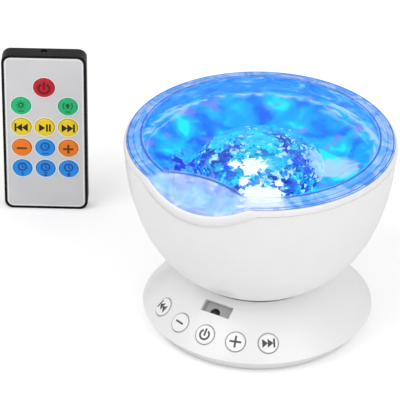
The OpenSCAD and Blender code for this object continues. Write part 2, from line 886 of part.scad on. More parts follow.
module bowl_shell() {
    color(shell_white)
    difference() {
        union() {
            difference() {
                bowl_solid(0, bowl_top);
                bowl_solid(bowl_wall, bowl_top + eps);
                difference() {
                    union() {
                        above(rim_low - seat_gap);
                        above_dip(dip_drop + seat_gap);
                    }
                    translate([0, 0, bowl_lift]) cylinder(r = rim_in - seat_gap / 2, h = big, $fn = 128);
                }
                above_dip(cover_wall + seat_gap);
            }
            intersection() {
                union() {
                    for (i = [0:post_count - 1])
                        rotate([0, 0, bowl_post_turn + i * 360 / post_count])
                            translate([bowl_post_ring, 0, bowl_lift])
                                cylinder(r = bowl_post_r, h = deck_z - bowl_lift - seat_gap, $fn = 64);
                    translate([0, 0, bowl_lift]) cylinder(r = tilt_boss_r, h = 10);
                    for (i = [0:ledge_count - 1])
                        rotate([0, 0, 15 + i * 360 / ledge_count])
                            translate([ledge_in, -ledge_w / 2, ledge_top - ledge_h])
                                cube([10, ledge_w, ledge_h]);
                }
                bowl_solid(bowl_wall / 2, bowl_top);
            }
            translate([0, 0, bowl_z - dish_out - 0.1]) cylinder(r = stem_r, h = bowl_wall + 3);
        }
        for (i = [0:post_count - 1])
            rotate([0, 0, bowl_post_turn + i * 360 / post_count])
                translate([bowl_post_ring, 0, deck_z - deck_screw_len - 1])
                    cylinder(r = pilot_r, h = big, $fn = 48);
        cylinder(r = pilot_r, h = bowl_z - dish_out + 11, $fn = 48);
    }
}

module rim_ring() {
    color(shell_white)
    difference() {
        intersection() {
            rotate_extrude($fn = 128)
                polygon(concat(
                    [[rim_in, rim_top], [rim_in, dip_skirt], [rim_r, dip_skirt]],
                    arc([rim_r - rim_round, rim_top - rim_round], rim_round, 90, 180, 6)
                ));
            union() {
                above(rim_low);
                above_dip(dip_drop);
            }
        }
        above_dip(0);
    }
}

// The cover's outer form, or the hollow under it when inset is its wall
module cover_solid(inset) {
    r = cover_r - (inset > 0 ? cover_skirt : 0);
    crown_a = asin(cover_ring_r / cover_crown);
    crown_c = [0, cover_ring_z + cover_rise - cover_crown];
    rotate_extrude($fn = 128)
        polygon(concat(
            [[0, dip_skirt], [r, dip_skirt], [r, cover_edge_z - 0.5 - inset]],
            [[r - 0.5, cover_edge_z - inset], [cover_ring_r + 1.6, cover_ring_z - 0.1 - inset]],
            inset > 0 ? [] : [
                [cover_ring_r + 0.5, cover_ring_z], [cover_ring_r, cover_ring_z - cover_groove]
            ],
            [for (i = [0:10]) arc_point(crown_c, cover_crown - inset, 180 - crown_a * 0.99 * (1 - i / 10))]
        ));
}

module top_cover() {
    color(cover_blue)
    difference() {
        intersection() {
            cover_solid(0);
            union() {
                above(bowl_top + seat_gap);
                above_dip(cover_wall);
            }
        }
        above_dip(0);
        difference() {
            cover_solid(cover_wall);
            above_dip(cover_wall);
        }
    }
}

module reflector() {
    color(shell_white)
    rotate_extrude()
        polygon([
            [reflector_in, reflector_in_z], [reflector_in + 4, reflector_in_z],
            [reflector_r - reflector_rim_w, reflector_rim_z], [reflector_r, reflector_rim_z],
            [reflector_r, reflector_rim_z + reflector_t],
            [reflector_r - reflector_rim_w - 0.3, reflector_rim_z + reflector_t],
            [reflector_in + 3.7, reflector_in_z + reflector_t], [reflector_in, reflector_in_z + reflector_t]
        ]);
}

// Height factor and radius of a row of the crystal's corners, staggered row by row
function crystal_corner(row, i, scale) =
    let (
        a = 90 * row / crystal_rows,
        turn = (i + (row % 2) / 2) * 360 / crystal_facets,
        push = 1 + crystal_jitter * sin(137 * i + 71 * row),
        r = crystal_r * scale * cos(a) * (row == 0 ? 1 : push)
    )
    [r * cos(turn), r * sin(turn), crystal_flange_t + (crystal_rise - crystal_flange_t) * scale * sin(a)];

module crystal_dome() {
    n = crystal_facets;
    rows = crystal_rows;
    outer = [for (row = [0:rows - 1], i = [0:n - 1]) crystal_corner(row, i, 1)];
    inner = [for (row = [0:rows - 1], i = [0:n - 1]) crystal_corner(row, i, crystal_wall)
        - [0, 0, row == 0 ? crystal_flange_t : 0]];
    flange = [for (z = [crystal_flange_t, 0], i = [0:n - 1])
        concat(polar(crystal_r + crystal_flange, i * 360 / n), z)];
    count = n * rows;
    top_outer = 2 * count + 2 * n;
    points = concat(outer, inner, flange, [
        [0, 0, crystal_rise],
        [0, 0, crystal_flange_t + (crystal_rise - crystal_flange_t) * crystal_wall]
    ]);
    faces = concat(
        band(0, n, rows, false),
        band(count, n, rows, true),
        [for (i = [0:n - 1]) [count - n + i, top_outer, count - n + (i + 1) % n]],
        [for (i = [0:n - 1]) [2 * count - n + i, 2 * count - n + (i + 1) % n, top_outer + 1]],
        ring_faces(2 * count, 0, n),
        ring_faces(2 * count + n, 2 * count, n),
        ring_faces(count, 2 * count + n, n)
    );
    color(crystal_blue)
    translate([0, 0, crystal_z]) polyhedron(points, faces, convexity = 4);
}

// Two triangles for each cell between two rings of n points
function ring_faces(low, high, n) = [
    for (i = [0:n - 1]) let (j = (i + 1) % n)
    for (f = [[low + i, high + i, high + j], [low + i, high + j, low + j]]) f
];

// Staggered rows of triangles, facing out or in
function band(start, n, rows, flip) = [
    for (row = [0:rows - 2], i = [0:n - 1])
    let (
        a = start + row * n + i,
        b = start + row * n + (i + 1) % n,
        c = start + (row + 1) * n + i,
        d = start + (row + 1) * n + (i + 1) % n,
        odd = row % 2 == 1
    )
    for (f = odd ? [[a, c, d], [a, d, b]] : [[a, c, b], [b, c, d]])
    flip ? [f[0], f[2], f[1]] : f
];

module deck_plate() {
    color(shell_white)
    difference() {
        union() {
            translate([0, 0, deck_z]) cylinder(r = deck_r, h = deck_t);
            translate([0, 0, deck_z]) cylinder(r = boss_r, h = boss_top - deck_z, $fn = 64);
            translate([idler_pos[0], idler_pos[1], deck_z]) {
                cylinder(r = boss_r, h = boss_top - deck_z, $fn = 64);
                cylinder(r = idler_pin_r, h = gear_z + gear_h + 0.6 - deck_z, $fn = 64);
            }
            for (a = [30, 150, 270])
                rotate([0, 0, a])
                    translate([spacer_ring, 0, deck_z])
                        cylinder(r = spacer_r, h = deck_t + board_gap - seat_gap, $fn = 48);
        }
        translate([0, 0, boss_top - axle_sink]) cylinder(r = axle_r + press_gap, h = big, $fn = 64);
        translate([pinion_pos[0], pinion_pos[1], deck_z - 1])
            cylinder(r = motor_nose_r + 0.3, h = deck_t + 2, $fn = 64);
        for (i = [0:post_count - 1])
            rotate([0, 0, bowl_post_turn + i * 360 / post_count])
                translate([bowl_post_ring, 0, deck_z - 1])
                    cylinder(r = screw_hole_r, h = deck_t + 2, $fn = 48);
    }
}

module deck_screws() {
    color(steel)
    for (i = [0:post_count - 1])
        rotate([0, 0, bowl_post_turn + i * 360 / post_count])
            translate([bowl_post_ring, 0, deck_z + deck_t])
                rotate([180, 0, 0])
                    screw(0, screw_head_r + 0.3, deck_head_h, deck_screw_len);
}

module led_board() {
    color(shell_white)
    translate([0, 0, led_board_z])
        difference() {
            cylinder(r = led_board_r, h = led_board_t);
            translate([0, 0, -1]) cylinder(r = boss_r + 0.4, h = 4, $fn = 64);
        }
}

module leds() {
    color([0.8, 0.9, 1.0])
    for (i = [0:led_count - 1])
        rotate([0, 0, i * 360 / led_count])
            translate([led_ring, 0, led_board_z + led_board_t + 0.02])
                rotate_extrude($fn = 32)
                    polygon(concat(
                        [[0, 0], [led_r, 0]],
                        [for (a = [0:15:90]) [led_r * cos(a), led_h + led_r * sin(a)]]
                    ));
}

module motor() {
    color(steel)
    difference() {
        union() {
            translate([motor_pos[0], motor_pos[1], motor_top - motor_h])
                rotate_extrude()
                    polygon([
                        [0, 0], [motor_r - 1, 0], [motor_r, 1], [motor_r, motor_h], [0, motor_h]
                    ]);
            translate([pinion_pos[0], pinion_pos[1], motor_top - 1])
                cylinder(r = motor_nose_r, h = 1 + deck_t, $fn = 64);
        }
        translate([pinion_pos[0], pinion_pos[1], motor_top - motor_shaft_sink])
            cylinder(r = motor_shaft_r + running_gap, h = big, $fn = 64);
    }
}

module motor_pinion() {
    color(nylon)
    translate([pinion_pos[0], pinion_pos[1], 0])
        union() {
            translate([0, 0, gear_z])
                rotate([0, 0, pinion_turn]) spur(pinion_teeth, gear_h, motor_shaft_r / 2);
            translate([0, 0, motor_top - motor_shaft_sink + 0.1])
                cylinder(
                    r = motor_shaft_r,
                    h = gear_z + gear_h + 0.5 - motor_top + motor_shaft_sink,
                    $fn = 64
                );
            translate([0, 0, deck_z + deck_t + 0.5])
                cylinder(r = 2.2, h = gear_z - deck_z - deck_t - 0.5 + eps, $fn = 48);
        }
}

module idler_gear() {
    color(nylon)
    translate([idler_pos[0], idler_pos[1], gear_z])
        rotate([0, 0, idler_turn])
            difference() {
                union() {
                    spur(idler_teeth, gear_h, idler_pin_r + running_gap);
                    difference() {
                        translate([0, 0, gear_h - eps]) cylinder(r = 3.6, h = 0.4, $fn = 64);
                        cylinder(r = idler_pin_r + running_gap, h = big, $fn = 64);
                    }
                }
            }
}

module disc_gear() {
    color(nylon)
    translate([0, 0, gear_z])
        difference() {
            union() {
                spur(disc_teeth, gear_h, ring_in);
                for (i = [0:spoke_count - 1])
                    rotate([0, 0, i * 360 / spoke_count])
                        translate([hub_r - 1, -spoke_w / 2, 0])
                            cube([ring_in - hub_r + 1.6, spoke_w, spoke_t]);
                cylinder(r = hub_r, h = hub_top - gear_z, $fn = 64);
            }
            translate([0, 0, -1]) cylinder(r = axle_r + running_gap, h = big, $fn = 64);
        }
}

module center_axle() {
    color(steel)
    translate([0, 0, boss_top - axle_sink + 0.1])
        rotate_extrude($fn = 64)
            polygon([
                [0, 0], [axle_r - 0.3, 0], [axle_r, 0.3],
                [axle_r, hub_top + 0.3 - boss_top + axle_sink - 0.1],
                [axle_head_r, hub_top + 0.3 - boss_top + axle_sink - 0.1],
                [axle_head_r, hub_top + 0.3 + axle_head_h - boss_top + axle_sink - 0.1],
                [0, hub_top + 0.3 + axle_head_h - boss_top + axle_sink - 0.1]
            ]);
}

// Height of the rippled surface: two crossing sets of waves that close round the disc
function ripple_z(r, a) = disc_mid + ripple * (sin(r * 52 + 40 * sin(5 * a)) + sin(9 * a + r * 21)) / 2;

module wave_disc() {
    n = disc_steps;
    m = disc_rings;
    top = [for (k = [0:m], i = [0:n - 1])
        let (r = disc_in + (disc_out - disc_in) * k / m, a = i * 360 / n)
        concat(polar(r, a), ripple_z(r, a))];
    low = [for (r = [disc_in, disc_out], i = [0:n - 1]) concat(polar(r, i * 360 / n), 0)];
    count = n * (m + 1);
    faces = concat(
        [for (k = [0:m - 1]) each ring_faces((k + 1) * n, k * n, n)],
        ring_faces(0, count, n),
        ring_faces(count, count + n, n),
        ring_faces(count + n, m * n, n)
    );
    color(crystal_blue)
    translate([0, 0, disc_base]) polyhedron(concat(top, low), faces, convexity = 6);
}

module tilt_washer() {
    a0 = asin((screw_d / 2 + 0.3) / washer_in);
    a1 = asin(washer_r / washer_in);
    color(steel)
    rotate_extrude()
        polygon(concat(
            arc([0, bowl_z], washer_in, a0, a1, 4),
            arc([0, bowl_z], washer_in + washer_t, a1, a0, 4)
        ));
}

module tilt_spring() {
    r0 = screw_d / 2 + 0.4;
    top = washer_low - seat_gap;
    color(steel)
    rotate_extrude()
        polygon([
            [r0, top - spring_dish - spring_t], [spring_r, top - spring_t], [spring_r, top],
            [r0, top - spring_dish]
        ]);
}

module tilt_screw() {
    color(steel) screw(tilt_head_top, tilt_head_r, tilt_head_h, tilt_screw_len);
}

// Puts a piece drawn in the handset's own frame where the handset stands
module at_remote() {
    rotate([0, 0, remote_turn])
        translate([-remote_aside, remote_behind, 0])
            children();
}

// A flat piece of the handset between two depths, with its outline drawn in X and Z
module slab(y0, y1) {
    translate([0, y1, 0])
        rotate([90, 0, 0])
            linear_extrude(y1 - y0) children();
}

module remote_outline(inset) {
    corner = remote_corner - inset * 0.7;
    translate([0, inset]) polygon(rounded_rect(remote_w - 2 * inset, remote_h - 2 * inset, corner));
}

module remote_hole(r, z, y0, y1) {
    translate([0, y0, z]) rotate([-90, 0, 0]) cylinder(r = r, h = y1 - y0, $fn = 64);
}

module key_holes(extra) {
    for (k = key_places)
        translate([k[0], k[1]]) circle(r = k[2] / 2 + extra, $fn = 64);
}

key_places = concat(
    [[0, row_z[0], power_key_d], [-column, row_z[1], key_d], [column, row_z[1], key_d]],
    [for (row = [2:4], c = [-1:1]) [c * column, row_z[row], key_d]]
);

module remote_front() {
    color(dark)
    at_remote() {
        difference() {
            slab(-half_t, front_back) remote_outline(0);
            slab(-half_t - 1, front_y) remote_outline(remote_rim);
            slab(-half_t, front_back + 1) key_holes(cap_gap);
        }
    }
}

module remote_faceplate() {
    color([0.82, 0.82, 0.84])
    at_remote()
        slab(face_y, face_y + face_t)
            difference() {
                remote_outline(remote_rim + seat_gap);
                key_holes(cap_gap);
            }
}

module remote_back() {
    post_y = remote_board_y + remote_board_t + seat_gap;
    color(dark)
    at_remote()
        difference() {
            union() {
                difference() {
                    slab(front_back + seat_gap / 2, half_t) remote_outline(0);
                    slab(front_back - 1, back_in) remote_outline(side_t);
                }
                difference() {
                    remote_hole(bay_r + bay_wall, cell_z, post_y, back_in + eps);
                    remote_hole(bay_r, cell_z, 0, back_in + 1);
                }
                for (x = [-remote_w / 2 + 4, remote_w / 2 - 4], z = [remote_h - 12, remote_h / 2, 6])
                    translate([x, post_y, z])
                        rotate([-90, 0, 0])
                            cylinder(r = remote_post_r, h = back_in + eps - post_y, $fn = 32);
            }
            remote_hole(cap_r + cap_gap, cell_z, 0, half_t + 1);
            cap_lug_places(cap_turn)
                translate([0, 0, -cap_lug_w / 2 - 0.3])
                    cube([cap_lug_r + 0.3, half_t + 1, cap_lug_w + 0.6]);
            translate([0, ir_led_y, remote_h - 4]) cylinder(r = ir_led_r + 0.1, h = 10, $fn = 48);
        }
}

module remote_board() {
    w = remote_w - 2 * board_margin;
    color(board_green)
    at_remote()
        slab(remote_board_y, remote_board_y + remote_board_t)
            difference() {
                translate([0, board_margin]) polygon(rounded_rect(w, remote_h - 2 * board_margin, 2));
                translate([-ir_led_r - moving_gap, remote_h - ir_led_len - 1])
                    square([2 * (ir_led_r + moving_gap), big]);
            }
}

module key_domes() {
    w = remote_w - 2 * board_margin - 1;
    r = 4;
    sphere_r = (r * r + dome_h * dome_h) / (2 * dome_h);
    color(steel)
    at_remote() {
        slab(sheet_y, sheet_y + sheet_t)
            translate([0, board_margin + 14]) polygon(rounded_rect(w, remote_h - 2 * board_margin - 15, 2));
        for (k = key_places)
            translate([k[0], sheet_y + eps, k[1]])
                rotate([90, 0, 0])
                    rotate_extrude($fn = 48)
                        polygon(concat([[0, 0]], [for (i = [0:4]) let (a = asin(r / sphere_r) * (1 - i / 4))
                            [sphere_r * sin(a), sphere_r * cos(a) - sphere_r + dome_h]]));
    }
}

module cap_lug_places(turn) {
    for (i = [0:cap_lugs - 1])
        translate([0, 0, cell_z])
            rotate([0, turn + i * 360 / cap_lugs, 0])
                children();
}

module battery_cap() {
    color(dark)
    at_remote()
        difference() {
            union() {
                remote_hole(cap_r, cell_z, back_in + 0.05, half_t);
                difference() {
                    remote_hole(cap_r, cell_z, back_in - cap_lug_t, back_in + 0.1);
                    remote_hole(cap_r - 1.2, cell_z, 0, back_in + 0.05);
                }
                translate([0, back_in - cap_lug_t, 0])
                    cap_lug_places(0)
                        translate([cap_r - 1, 0, -cap_lug_w / 2])
                            cube([cap_lug_r - cap_r + 1, cap_lug_t - 0.1, cap_lug_w]);
            }
            translate([-coin_slot[0] / 2, half_t - coin_slot[2], cell_z - coin_slot[1] / 2])
                cube([coin_slot[0], 2, coin_slot[1]]);
        }
}

module coin_cell() {
    color(steel)
    at_remote()
        translate([0, cell_y, cell_z])
            rotate([-90, 0, 0])
                rotate_extrude()
                    polygon([
                        [0, 0], [cell_r - 1.2, 0], [cell_r - 1.2, 0.3],
                        [cell_r, 0.5], [cell_r, cell_t], [0, cell_t]
                    ]);
}

module ir_led() {
    color(dark)
    at_remote()
        translate([0, ir_led_y, remote_h - 0.4 - ir_led_len])
            rotate_extrude($fn = 32)
                polygon(concat(
                    [[0, 0], [ir_led_r, 0]],
                    [for (a = [0:15:90]) [ir_led_r * cos(a), ir_led_len - ir_led_r + ir_led_r * sin(a)]]
                ));
}

module key(i, tint) {
    place = key_places[i];
    r = place[2] / 2;
    front = face_y - key_proud;
    color(tint)
    at_remote()
        translate([place[0], key_flange_y + key_flange_t, place[1]])
            rotate([90, 0, 0])
                rotate_extrude($fn = 64)
                    polygon([
                        [0, 0], [r + key_flange_w, 0], [r + key_flange_w, key_flange_t], [r, key_flange_t],
                        [r, key_flange_y + key_flange_t - front - 0.35],
                        [r - 0.35, key_flange_y + key_flange_t - front],
                        [r * 0.5, key_flange_y + key_flange_t - front + 0.15],
                        [0, key_flange_y + key_flange_t - front + 0.2]
                    ]);
}

key_red = [0.75, 0.04, 0.12];
key_green = [0.12, 0.7, 0.47];
key_yellow = [0.9, 0.82, 0.16];
key_orange = [0.94, 0.51, 0.08];
key_blue = [0.16, 0.59, 0.9];

module key_power() { key(0, key_red); }
module key_light() { key(1, key_green); }
module key_dimmer() { key(2, key_green); }
module key_previous() { key(3, key_yellow); }
module key_play() { key(4, key_yellow); }
module key_next() { key(5, key_yellow); }
module key_volume_down() { key(6, key_orange); }
module key_mode() { key(7, key_blue); }
module key_volume_up() { key(8, key_orange); }
module key_timer_1() { key(9, key_blue); }
module key_timer_2() { key(10, key_blue); }
module key_timer_4() { key(11, key_blue); }

base_shell();
tilt_cradle();
bottom_cover();
rubber_feet();
base_screws();
speaker_frame();
speaker_cone();
speaker_magnet();
main_board();
usb_port();
aux_jack();
card_slot();
ir_receiver();
ir_pocket();
button_strip();
button_switches();
previous_button();
volume_down_button();
power_button();
volume_up_button();
next_button();
bowl_shell();
rim_ring();
top_cover();
crystal_dome();
reflector();
deck_plate();
deck_screws();
led_board();
leds();
motor();
center_axle();
tilt_washer();
tilt_spring();
tilt_screw();
wave_disc();
disc_gear();
idler_gear();
motor_pinion();
remote_back();
remote_front();
remote_faceplate();
remote_board();
key_domes();
battery_cap();
coin_cell();
ir_led();
key_power();
key_light();
key_dimmer();
key_previous();
key_play();
key_next();
key_volume_down();
key_mode();
key_volume_up();
key_timer_1();
key_timer_2();
key_timer_4();
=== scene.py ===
"""Ocean wave projector: the looks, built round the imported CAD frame. The front is -Y.
Lengths are in millimetres, and meshes are scaled by MM. Shaders, lamps and the camera use metres."""
import math
import random

import bmesh
import bpy
from mathutils import Matrix, Vector, noise

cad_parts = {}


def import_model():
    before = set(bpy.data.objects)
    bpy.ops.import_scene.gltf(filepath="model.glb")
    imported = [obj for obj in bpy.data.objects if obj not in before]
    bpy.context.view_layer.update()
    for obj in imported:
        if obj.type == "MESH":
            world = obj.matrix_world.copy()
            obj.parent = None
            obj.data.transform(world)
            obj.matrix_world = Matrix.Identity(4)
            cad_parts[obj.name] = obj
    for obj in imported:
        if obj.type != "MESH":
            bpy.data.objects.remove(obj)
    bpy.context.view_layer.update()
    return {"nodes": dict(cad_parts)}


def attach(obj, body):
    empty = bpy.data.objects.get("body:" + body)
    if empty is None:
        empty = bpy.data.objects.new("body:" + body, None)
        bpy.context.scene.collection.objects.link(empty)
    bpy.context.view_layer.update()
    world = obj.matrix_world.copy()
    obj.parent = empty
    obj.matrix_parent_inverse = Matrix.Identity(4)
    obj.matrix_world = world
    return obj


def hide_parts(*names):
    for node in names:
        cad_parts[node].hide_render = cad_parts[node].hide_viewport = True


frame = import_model()
nodes = frame["nodes"]
MM = 0.001

# The base's dome and its buttons, as in the CAD part
BASE_R, BASE_EDGE_Z = 56.2, 7.6
BOWL_R, BOWL_Z, BOWL_GAP = 61.5, 80.0, 0.4
NECK_R = 33.0
DOME_ARC = 86.0
BUTTON_RING = 49.6
BUTTON_STEP = 18.2
BUTTON_R = 4.65
BUTTON_PROUD = 0.5
CAP_EDGE = 0.35

# The bowl's top: rim, dip, cover, crystal and dish
RIM_R, RIM_TOP, RIM_LOW, RIM_IN = 65.5, 99.6, 96.0, 63.95
DIP_R, DIP_SLOPE, DIP_Y, DIP_Z = 135.0, 32.0, -63.95, 91.8
DIP_DROP = 3.9
COVER_R, COVER_TOP, COVER_WALL = 64.2, 99.75, 1.5
CROWN_R, CROWN_TOP, CROWN_EDGE = 57.0, 103.5, 101.0
OUTER_LINE_R = 60.6
CRYSTAL_R, CRYSTAL_RISE, CRYSTAL_Z = 31.0, 13.6, 83.4
DISH_IN, DISH_FLAT, DISH_RISE, DISH_OUT = 30.9, 34.8, 57.4, 61.6
DISH_LOW, DISH_HIGH, DISH_T = 82.9, 89.4, 1.45
# Points in each ring of the cover and the rim
TURN_STEPS = 360

# The remote, as in the CAD part
REMOTE_TURN = 29.7
REMOTE_PLACE = (-110.3, 95.0)
REMOTE_W, REMOTE_H, REMOTE_T = 43.0, 90.5, 8.0
KEY_R, POWER_R = 4.85, 5.3
KEY_PITCH_X, KEY_PITCH_Z, KEY_TOP = 11.9, 12.33, 18.3
KEY_PROUD = 0.8
# The power key's row is nearer to the next one by this much
POWER_ROW_NEARER = 1.45

# Printed symbols: their size on a cap of radius 1, and half the thickness of each ink
BUTTON_SYMBOL, KEY_SYMBOL = 1.08, 1.14
BUTTON_INK, KEY_INK, HALO_INK, BEVEL_INK = 0.04, 0.05, 0.06, 0.05
# Overlap of a line's pieces as a share of its width, a bar's block length, and a fine line's width
STROKE_OVERLAP, BLOCK, LINE = 0.18, 0.16, 0.1

# Shader lengths in metres: where light reaches the inner walls, and the groove round a button
BOWL_LIT_R, RIM_LIT_R = 0.0631, 0.0641
LIT_FROM_Z, LIT_FULL_Z = 0.086, 0.088
GROOVE_IN, GROOVE_OUT = 0.00495, 0.00545

# The photograph's camera, found from the object's outlines: its turn, tilt and roll, and its
# distance in metres. The base's axis, at the height AXIS_Z, falls on AXIS_PIXEL of the picture.
VIEW_TURN = math.radians(29.7)
VIEW_TILT, VIEW_ROLL = math.radians(32.365), math.radians(1.28)
VIEW_DISTANCE, AXIS_Z = 1.5, 0.051
AXIS_PIXEL = (258.85, 223.98)
PICTURE, FOCAL_PIXELS, SENSOR = 400, 3095.6, 36

# Light
WORLD_LIGHT = 0.72
FLOOR_GLOW = 0.2
LAMP_SIZE, LAMP_AIM = 1.2, (0, 0, 0.05)


# The base's dome and the places of its buttons
def circle_centre(p, q, radius):
    """Centre of the circle through p and q that lies nearer to the axis and the ground."""
    half_x, half_z = (p[0] - q[0]) / 2, (p[1] - q[1]) / 2
    half = math.hypot(half_x, half_z)
    reach = math.sqrt(radius ** 2 - half ** 2) / half
    return q[0] + half_x + half_z * reach, q[1] + half_z - half_x * reach


NECK_Z = BOWL_Z - math.sqrt((BOWL_R + BOWL_GAP) ** 2 - NECK_R ** 2)
DOME_C = circle_centre((BASE_R, BASE_EDGE_Z), (NECK_R, NECK_Z), DOME_ARC)


def dome_z(r):
    return DOME_C[1] + math.sqrt(DOME_ARC ** 2 - (r - DOME_C[0]) ** 2)


def dome_frame(ring, angle):
    """A frame on the dome, its Z axis square to the surface."""
    a = math.radians(angle)
    slope = math.atan2(dome_z(ring) - DOME_C[1], ring - DOME_C[0])
    place = Vector((ring * math.sin(a), -ring * math.cos(a), dome_z(ring)))
    lean = Matrix.Rotation(math.pi / 2 - slope, 4, "X")
    return Matrix.Translation(place) @ Matrix.Rotation(a, 4, "Z") @ lean


def button_frames():
    return [dome_frame(BUTTON_RING, i * BUTTON_STEP) for i in range(-2, 3)]


# Shader building blocks
def add(tree, kind, **values):
    """Adds a node. Each value sets the node's own property, or else its input of that name."""
    node = tree.nodes.new(kind)
    for key, value in values.items():
        if hasattr(node, key):
            setattr(node, key, value)
        else:
            node.inputs[key.replace("_", " ")].default_value = value
    return node


def plug(tree, value, node, name):
    """Links a socket to a node's input, or writes a plain value or colour into it."""
    socket = node.inputs[name]
    if isinstance(value, bpy.types.NodeSocket):
        tree.links.new(value, socket)
    elif socket.type == "RGBA":
        socket.default_value = (*value, 1.0)
    else:
        socket.default_value = value


def coords(tree, scale=(1, 1, 1), turn=(0, 0, 0)):
    source = add(tree, "ShaderNodeTexCoord")
    mapping = add(tree, "ShaderNodeMapping", Scale=scale, Rotation=turn)
    plug(tree, source.outputs["Object"], mapping, "Vector")
    return mapping.outputs["Vector"]


def noise_tex(tree, vector, scale, detail=3.0, rough=0.5, distortion=0.0):
    node = add(tree, "ShaderNodeTexNoise",
               Scale=scale, Detail=detail, Roughness=rough, Distortion=distortion)
    plug(tree, vector, node, "Vector")
    return node.outputs["Fac"]


def ramp(tree, fac, stops, mode="LINEAR"):
    node = add(tree, "ShaderNodeValToRGB")
    node.color_ramp.interpolation = mode
    elements = node.color_ramp.elements
    while len(elements) < len(stops):
        elements.new(0.5)
    for element, (position, colour) in zip(elements, stops):
        element.position = position
        element.color = (*colour, 1.0)
    plug(tree, fac, node, "Fac")
    return node.outputs["Color"]


def drift(tree, fac, colour, low, high):
    """A colour that drifts between `low` and `high` times its brightness."""
    return ramp(tree, fac, [(0.3, shade(colour, low)), (0.7, shade(colour, high))])


def to_range(tree, value, low, high, from_low=0.3, from_high=0.7):
    node = add(tree, "ShaderNodeMapRange",
               From_Min=from_low, From_Max=from_high, To_Min=low, To_Max=high)
    plug(tree, value, node, "Value")
    return node.outputs["Result"]


def calculate(tree, operation, a, b=0.0):
    node = add(tree, "ShaderNodeMath", operation=operation)
    plug(tree, a, node, 0)
    plug(tree, b, node, 1)
    return node.outputs[0]


def times(tree, a, b):
    return calculate(tree, "MULTIPLY", a, b)


def mix_colour(tree, share, a, b):
    node = add(tree, "ShaderNodeMix", data_type="RGBA")
    factor, first, second, result = 0, 6, 7, 2
    plug(tree, share, node, factor)
    plug(tree, a, node, first)
    plug(tree, b, node, second)
    return node.outputs[result]


def attribute(tree, name, output="Color"):
    return add(tree, "ShaderNodeAttribute", attribute_name=name).outputs[output]


def split(tree, kind, value):
    """The separate channels of a colour or a vector."""
    node = add(tree, "ShaderNodeSeparate" + kind)
    plug(tree, value, node, 0)
    return node.outputs


def bump(tree, shader, height, strength, distance):
    """Fine relief on the shader's surface."""
    node = add(tree, "ShaderNodeBump", Strength=strength, Distance=distance)
    plug(tree, height, node, "Height")
    plug(tree, node.outputs["Normal"], shader, "Normal")


def surface(name, **values):
    """A new material with one shader, whose inputs take the values of their name."""
    material = bpy.data.materials.new(name)
    material.use_nodes = True
    tree = material.node_tree
    tree.nodes.clear()
    out = add(tree, "ShaderNodeOutputMaterial", name="out")
    shader = add(tree, "ShaderNodeBsdfPrincipled", **values)
    plug(tree, shader.outputs["BSDF"], out, "Surface")
    return material, tree, shader


def clamp(value):
    return max(0.0, min(1.0, value))


def shade(colour, k):
    return tuple(clamp(v * k) for v in colour)


# Materials
def plastic(name, colour, rough=0.35, vary=0.03, grain=0.15, grain_scale=1800.0,
            coat=0.0, spec=0.5, grooves=False, lit_within=None):
    """Moulded plastic: a slight colour drift, fine texture, and roughness that varies with handling.
    It may be grey in the grooves round the base's buttons, or glow blue within a radius."""
    material, tree, shader = surface(name, Coat_Weight=coat, Coat_Roughness=0.12, Specular_IOR_Level=spec)
    place = coords(tree)
    base = drift(tree, noise_tex(tree, place, 38.0, 2.0), colour, 1 - vary, 1 + vary * 0.4)
    if grooves:
        base = groove_shadow(tree, base)
    if lit_within:
        base = light_inside(tree, shader, base, lit_within)
    plug(tree, base, shader, "Base Color")
    handling = noise_tex(tree, place, 90.0, 4.0)
    plug(tree, to_range(tree, handling, rough * 0.88, rough * 1.15), shader, "Roughness")
    bump(tree, shader, noise_tex(tree, place, grain_scale, 2.0), grain, 0.00004)
    return material


def metal(name, colour, rough=0.3, brushed=(1, 1, 12), vary=0.08):
    material, tree, shader = surface(name, Metallic=1.0)
    streak = noise_tex(tree, coords(tree, scale=brushed), 260.0, 5.0, 0.65)
    plug(tree, drift(tree, streak, colour, 1 - vary, 1 + vary), shader, "Base Color")
    plug(tree, to_range(tree, streak, rough * 0.75, rough * 1.3), shader, "Roughness")
    bump(tree, shader, streak, 0.2, 0.00003)
    return material


def board(name, colour):
    """Solder mask with faint copper tracks under it."""
    material, tree, shader = surface(name, Roughness=0.38, Coat_Weight=0.4, Coat_Roughness=0.2)
    place = coords(tree, turn=(0, 0, 0.6))
    tracks = add(tree, "ShaderNodeTexBrick", Scale=260.0, Mortar_Size=0.06, Color1=(*colour, 1),
                 Color2=(*shade(colour, 1.25), 1), Mortar=(*shade(colour, 0.6), 1))
    plug(tree, place, tracks, "Vector")
    plug(tree, tracks.outputs["Color"], shader, "Base Color")
    bump(tree, shader, noise_tex(tree, place, 700.0), 0.1, 0.00003)
    return material


def rubber(name, colour):
    material, tree, shader = surface(name, Specular_IOR_Level=0.25)
    place = coords(tree)
    dust = noise_tex(tree, place, 300.0, 5.0)
    plug(tree, ramp(tree, dust, [(0.35, colour), (0.75, shade(colour, 1.8))]), shader, "Base Color")
    plug(tree, to_range(tree, dust, 0.65, 0.9), shader, "Roughness")
    bump(tree, shader, noise_tex(tree, place, 2600.0, 1.0), 0.3, 0.00005)
    return material


def flat_ink(name, colour, rough=0.5):
    material, tree, shader = surface(name, Specular_IOR_Level=0.3)
    grain = noise_tex(tree, coords(tree), 900.0, 3.0)
    plug(tree, drift(tree, grain, colour, 0.9, 1.1), shader, "Base Color")
    plug(tree, to_range(tree, grain, rough * 0.9, rough * 1.1), shader, "Roughness")
    return material


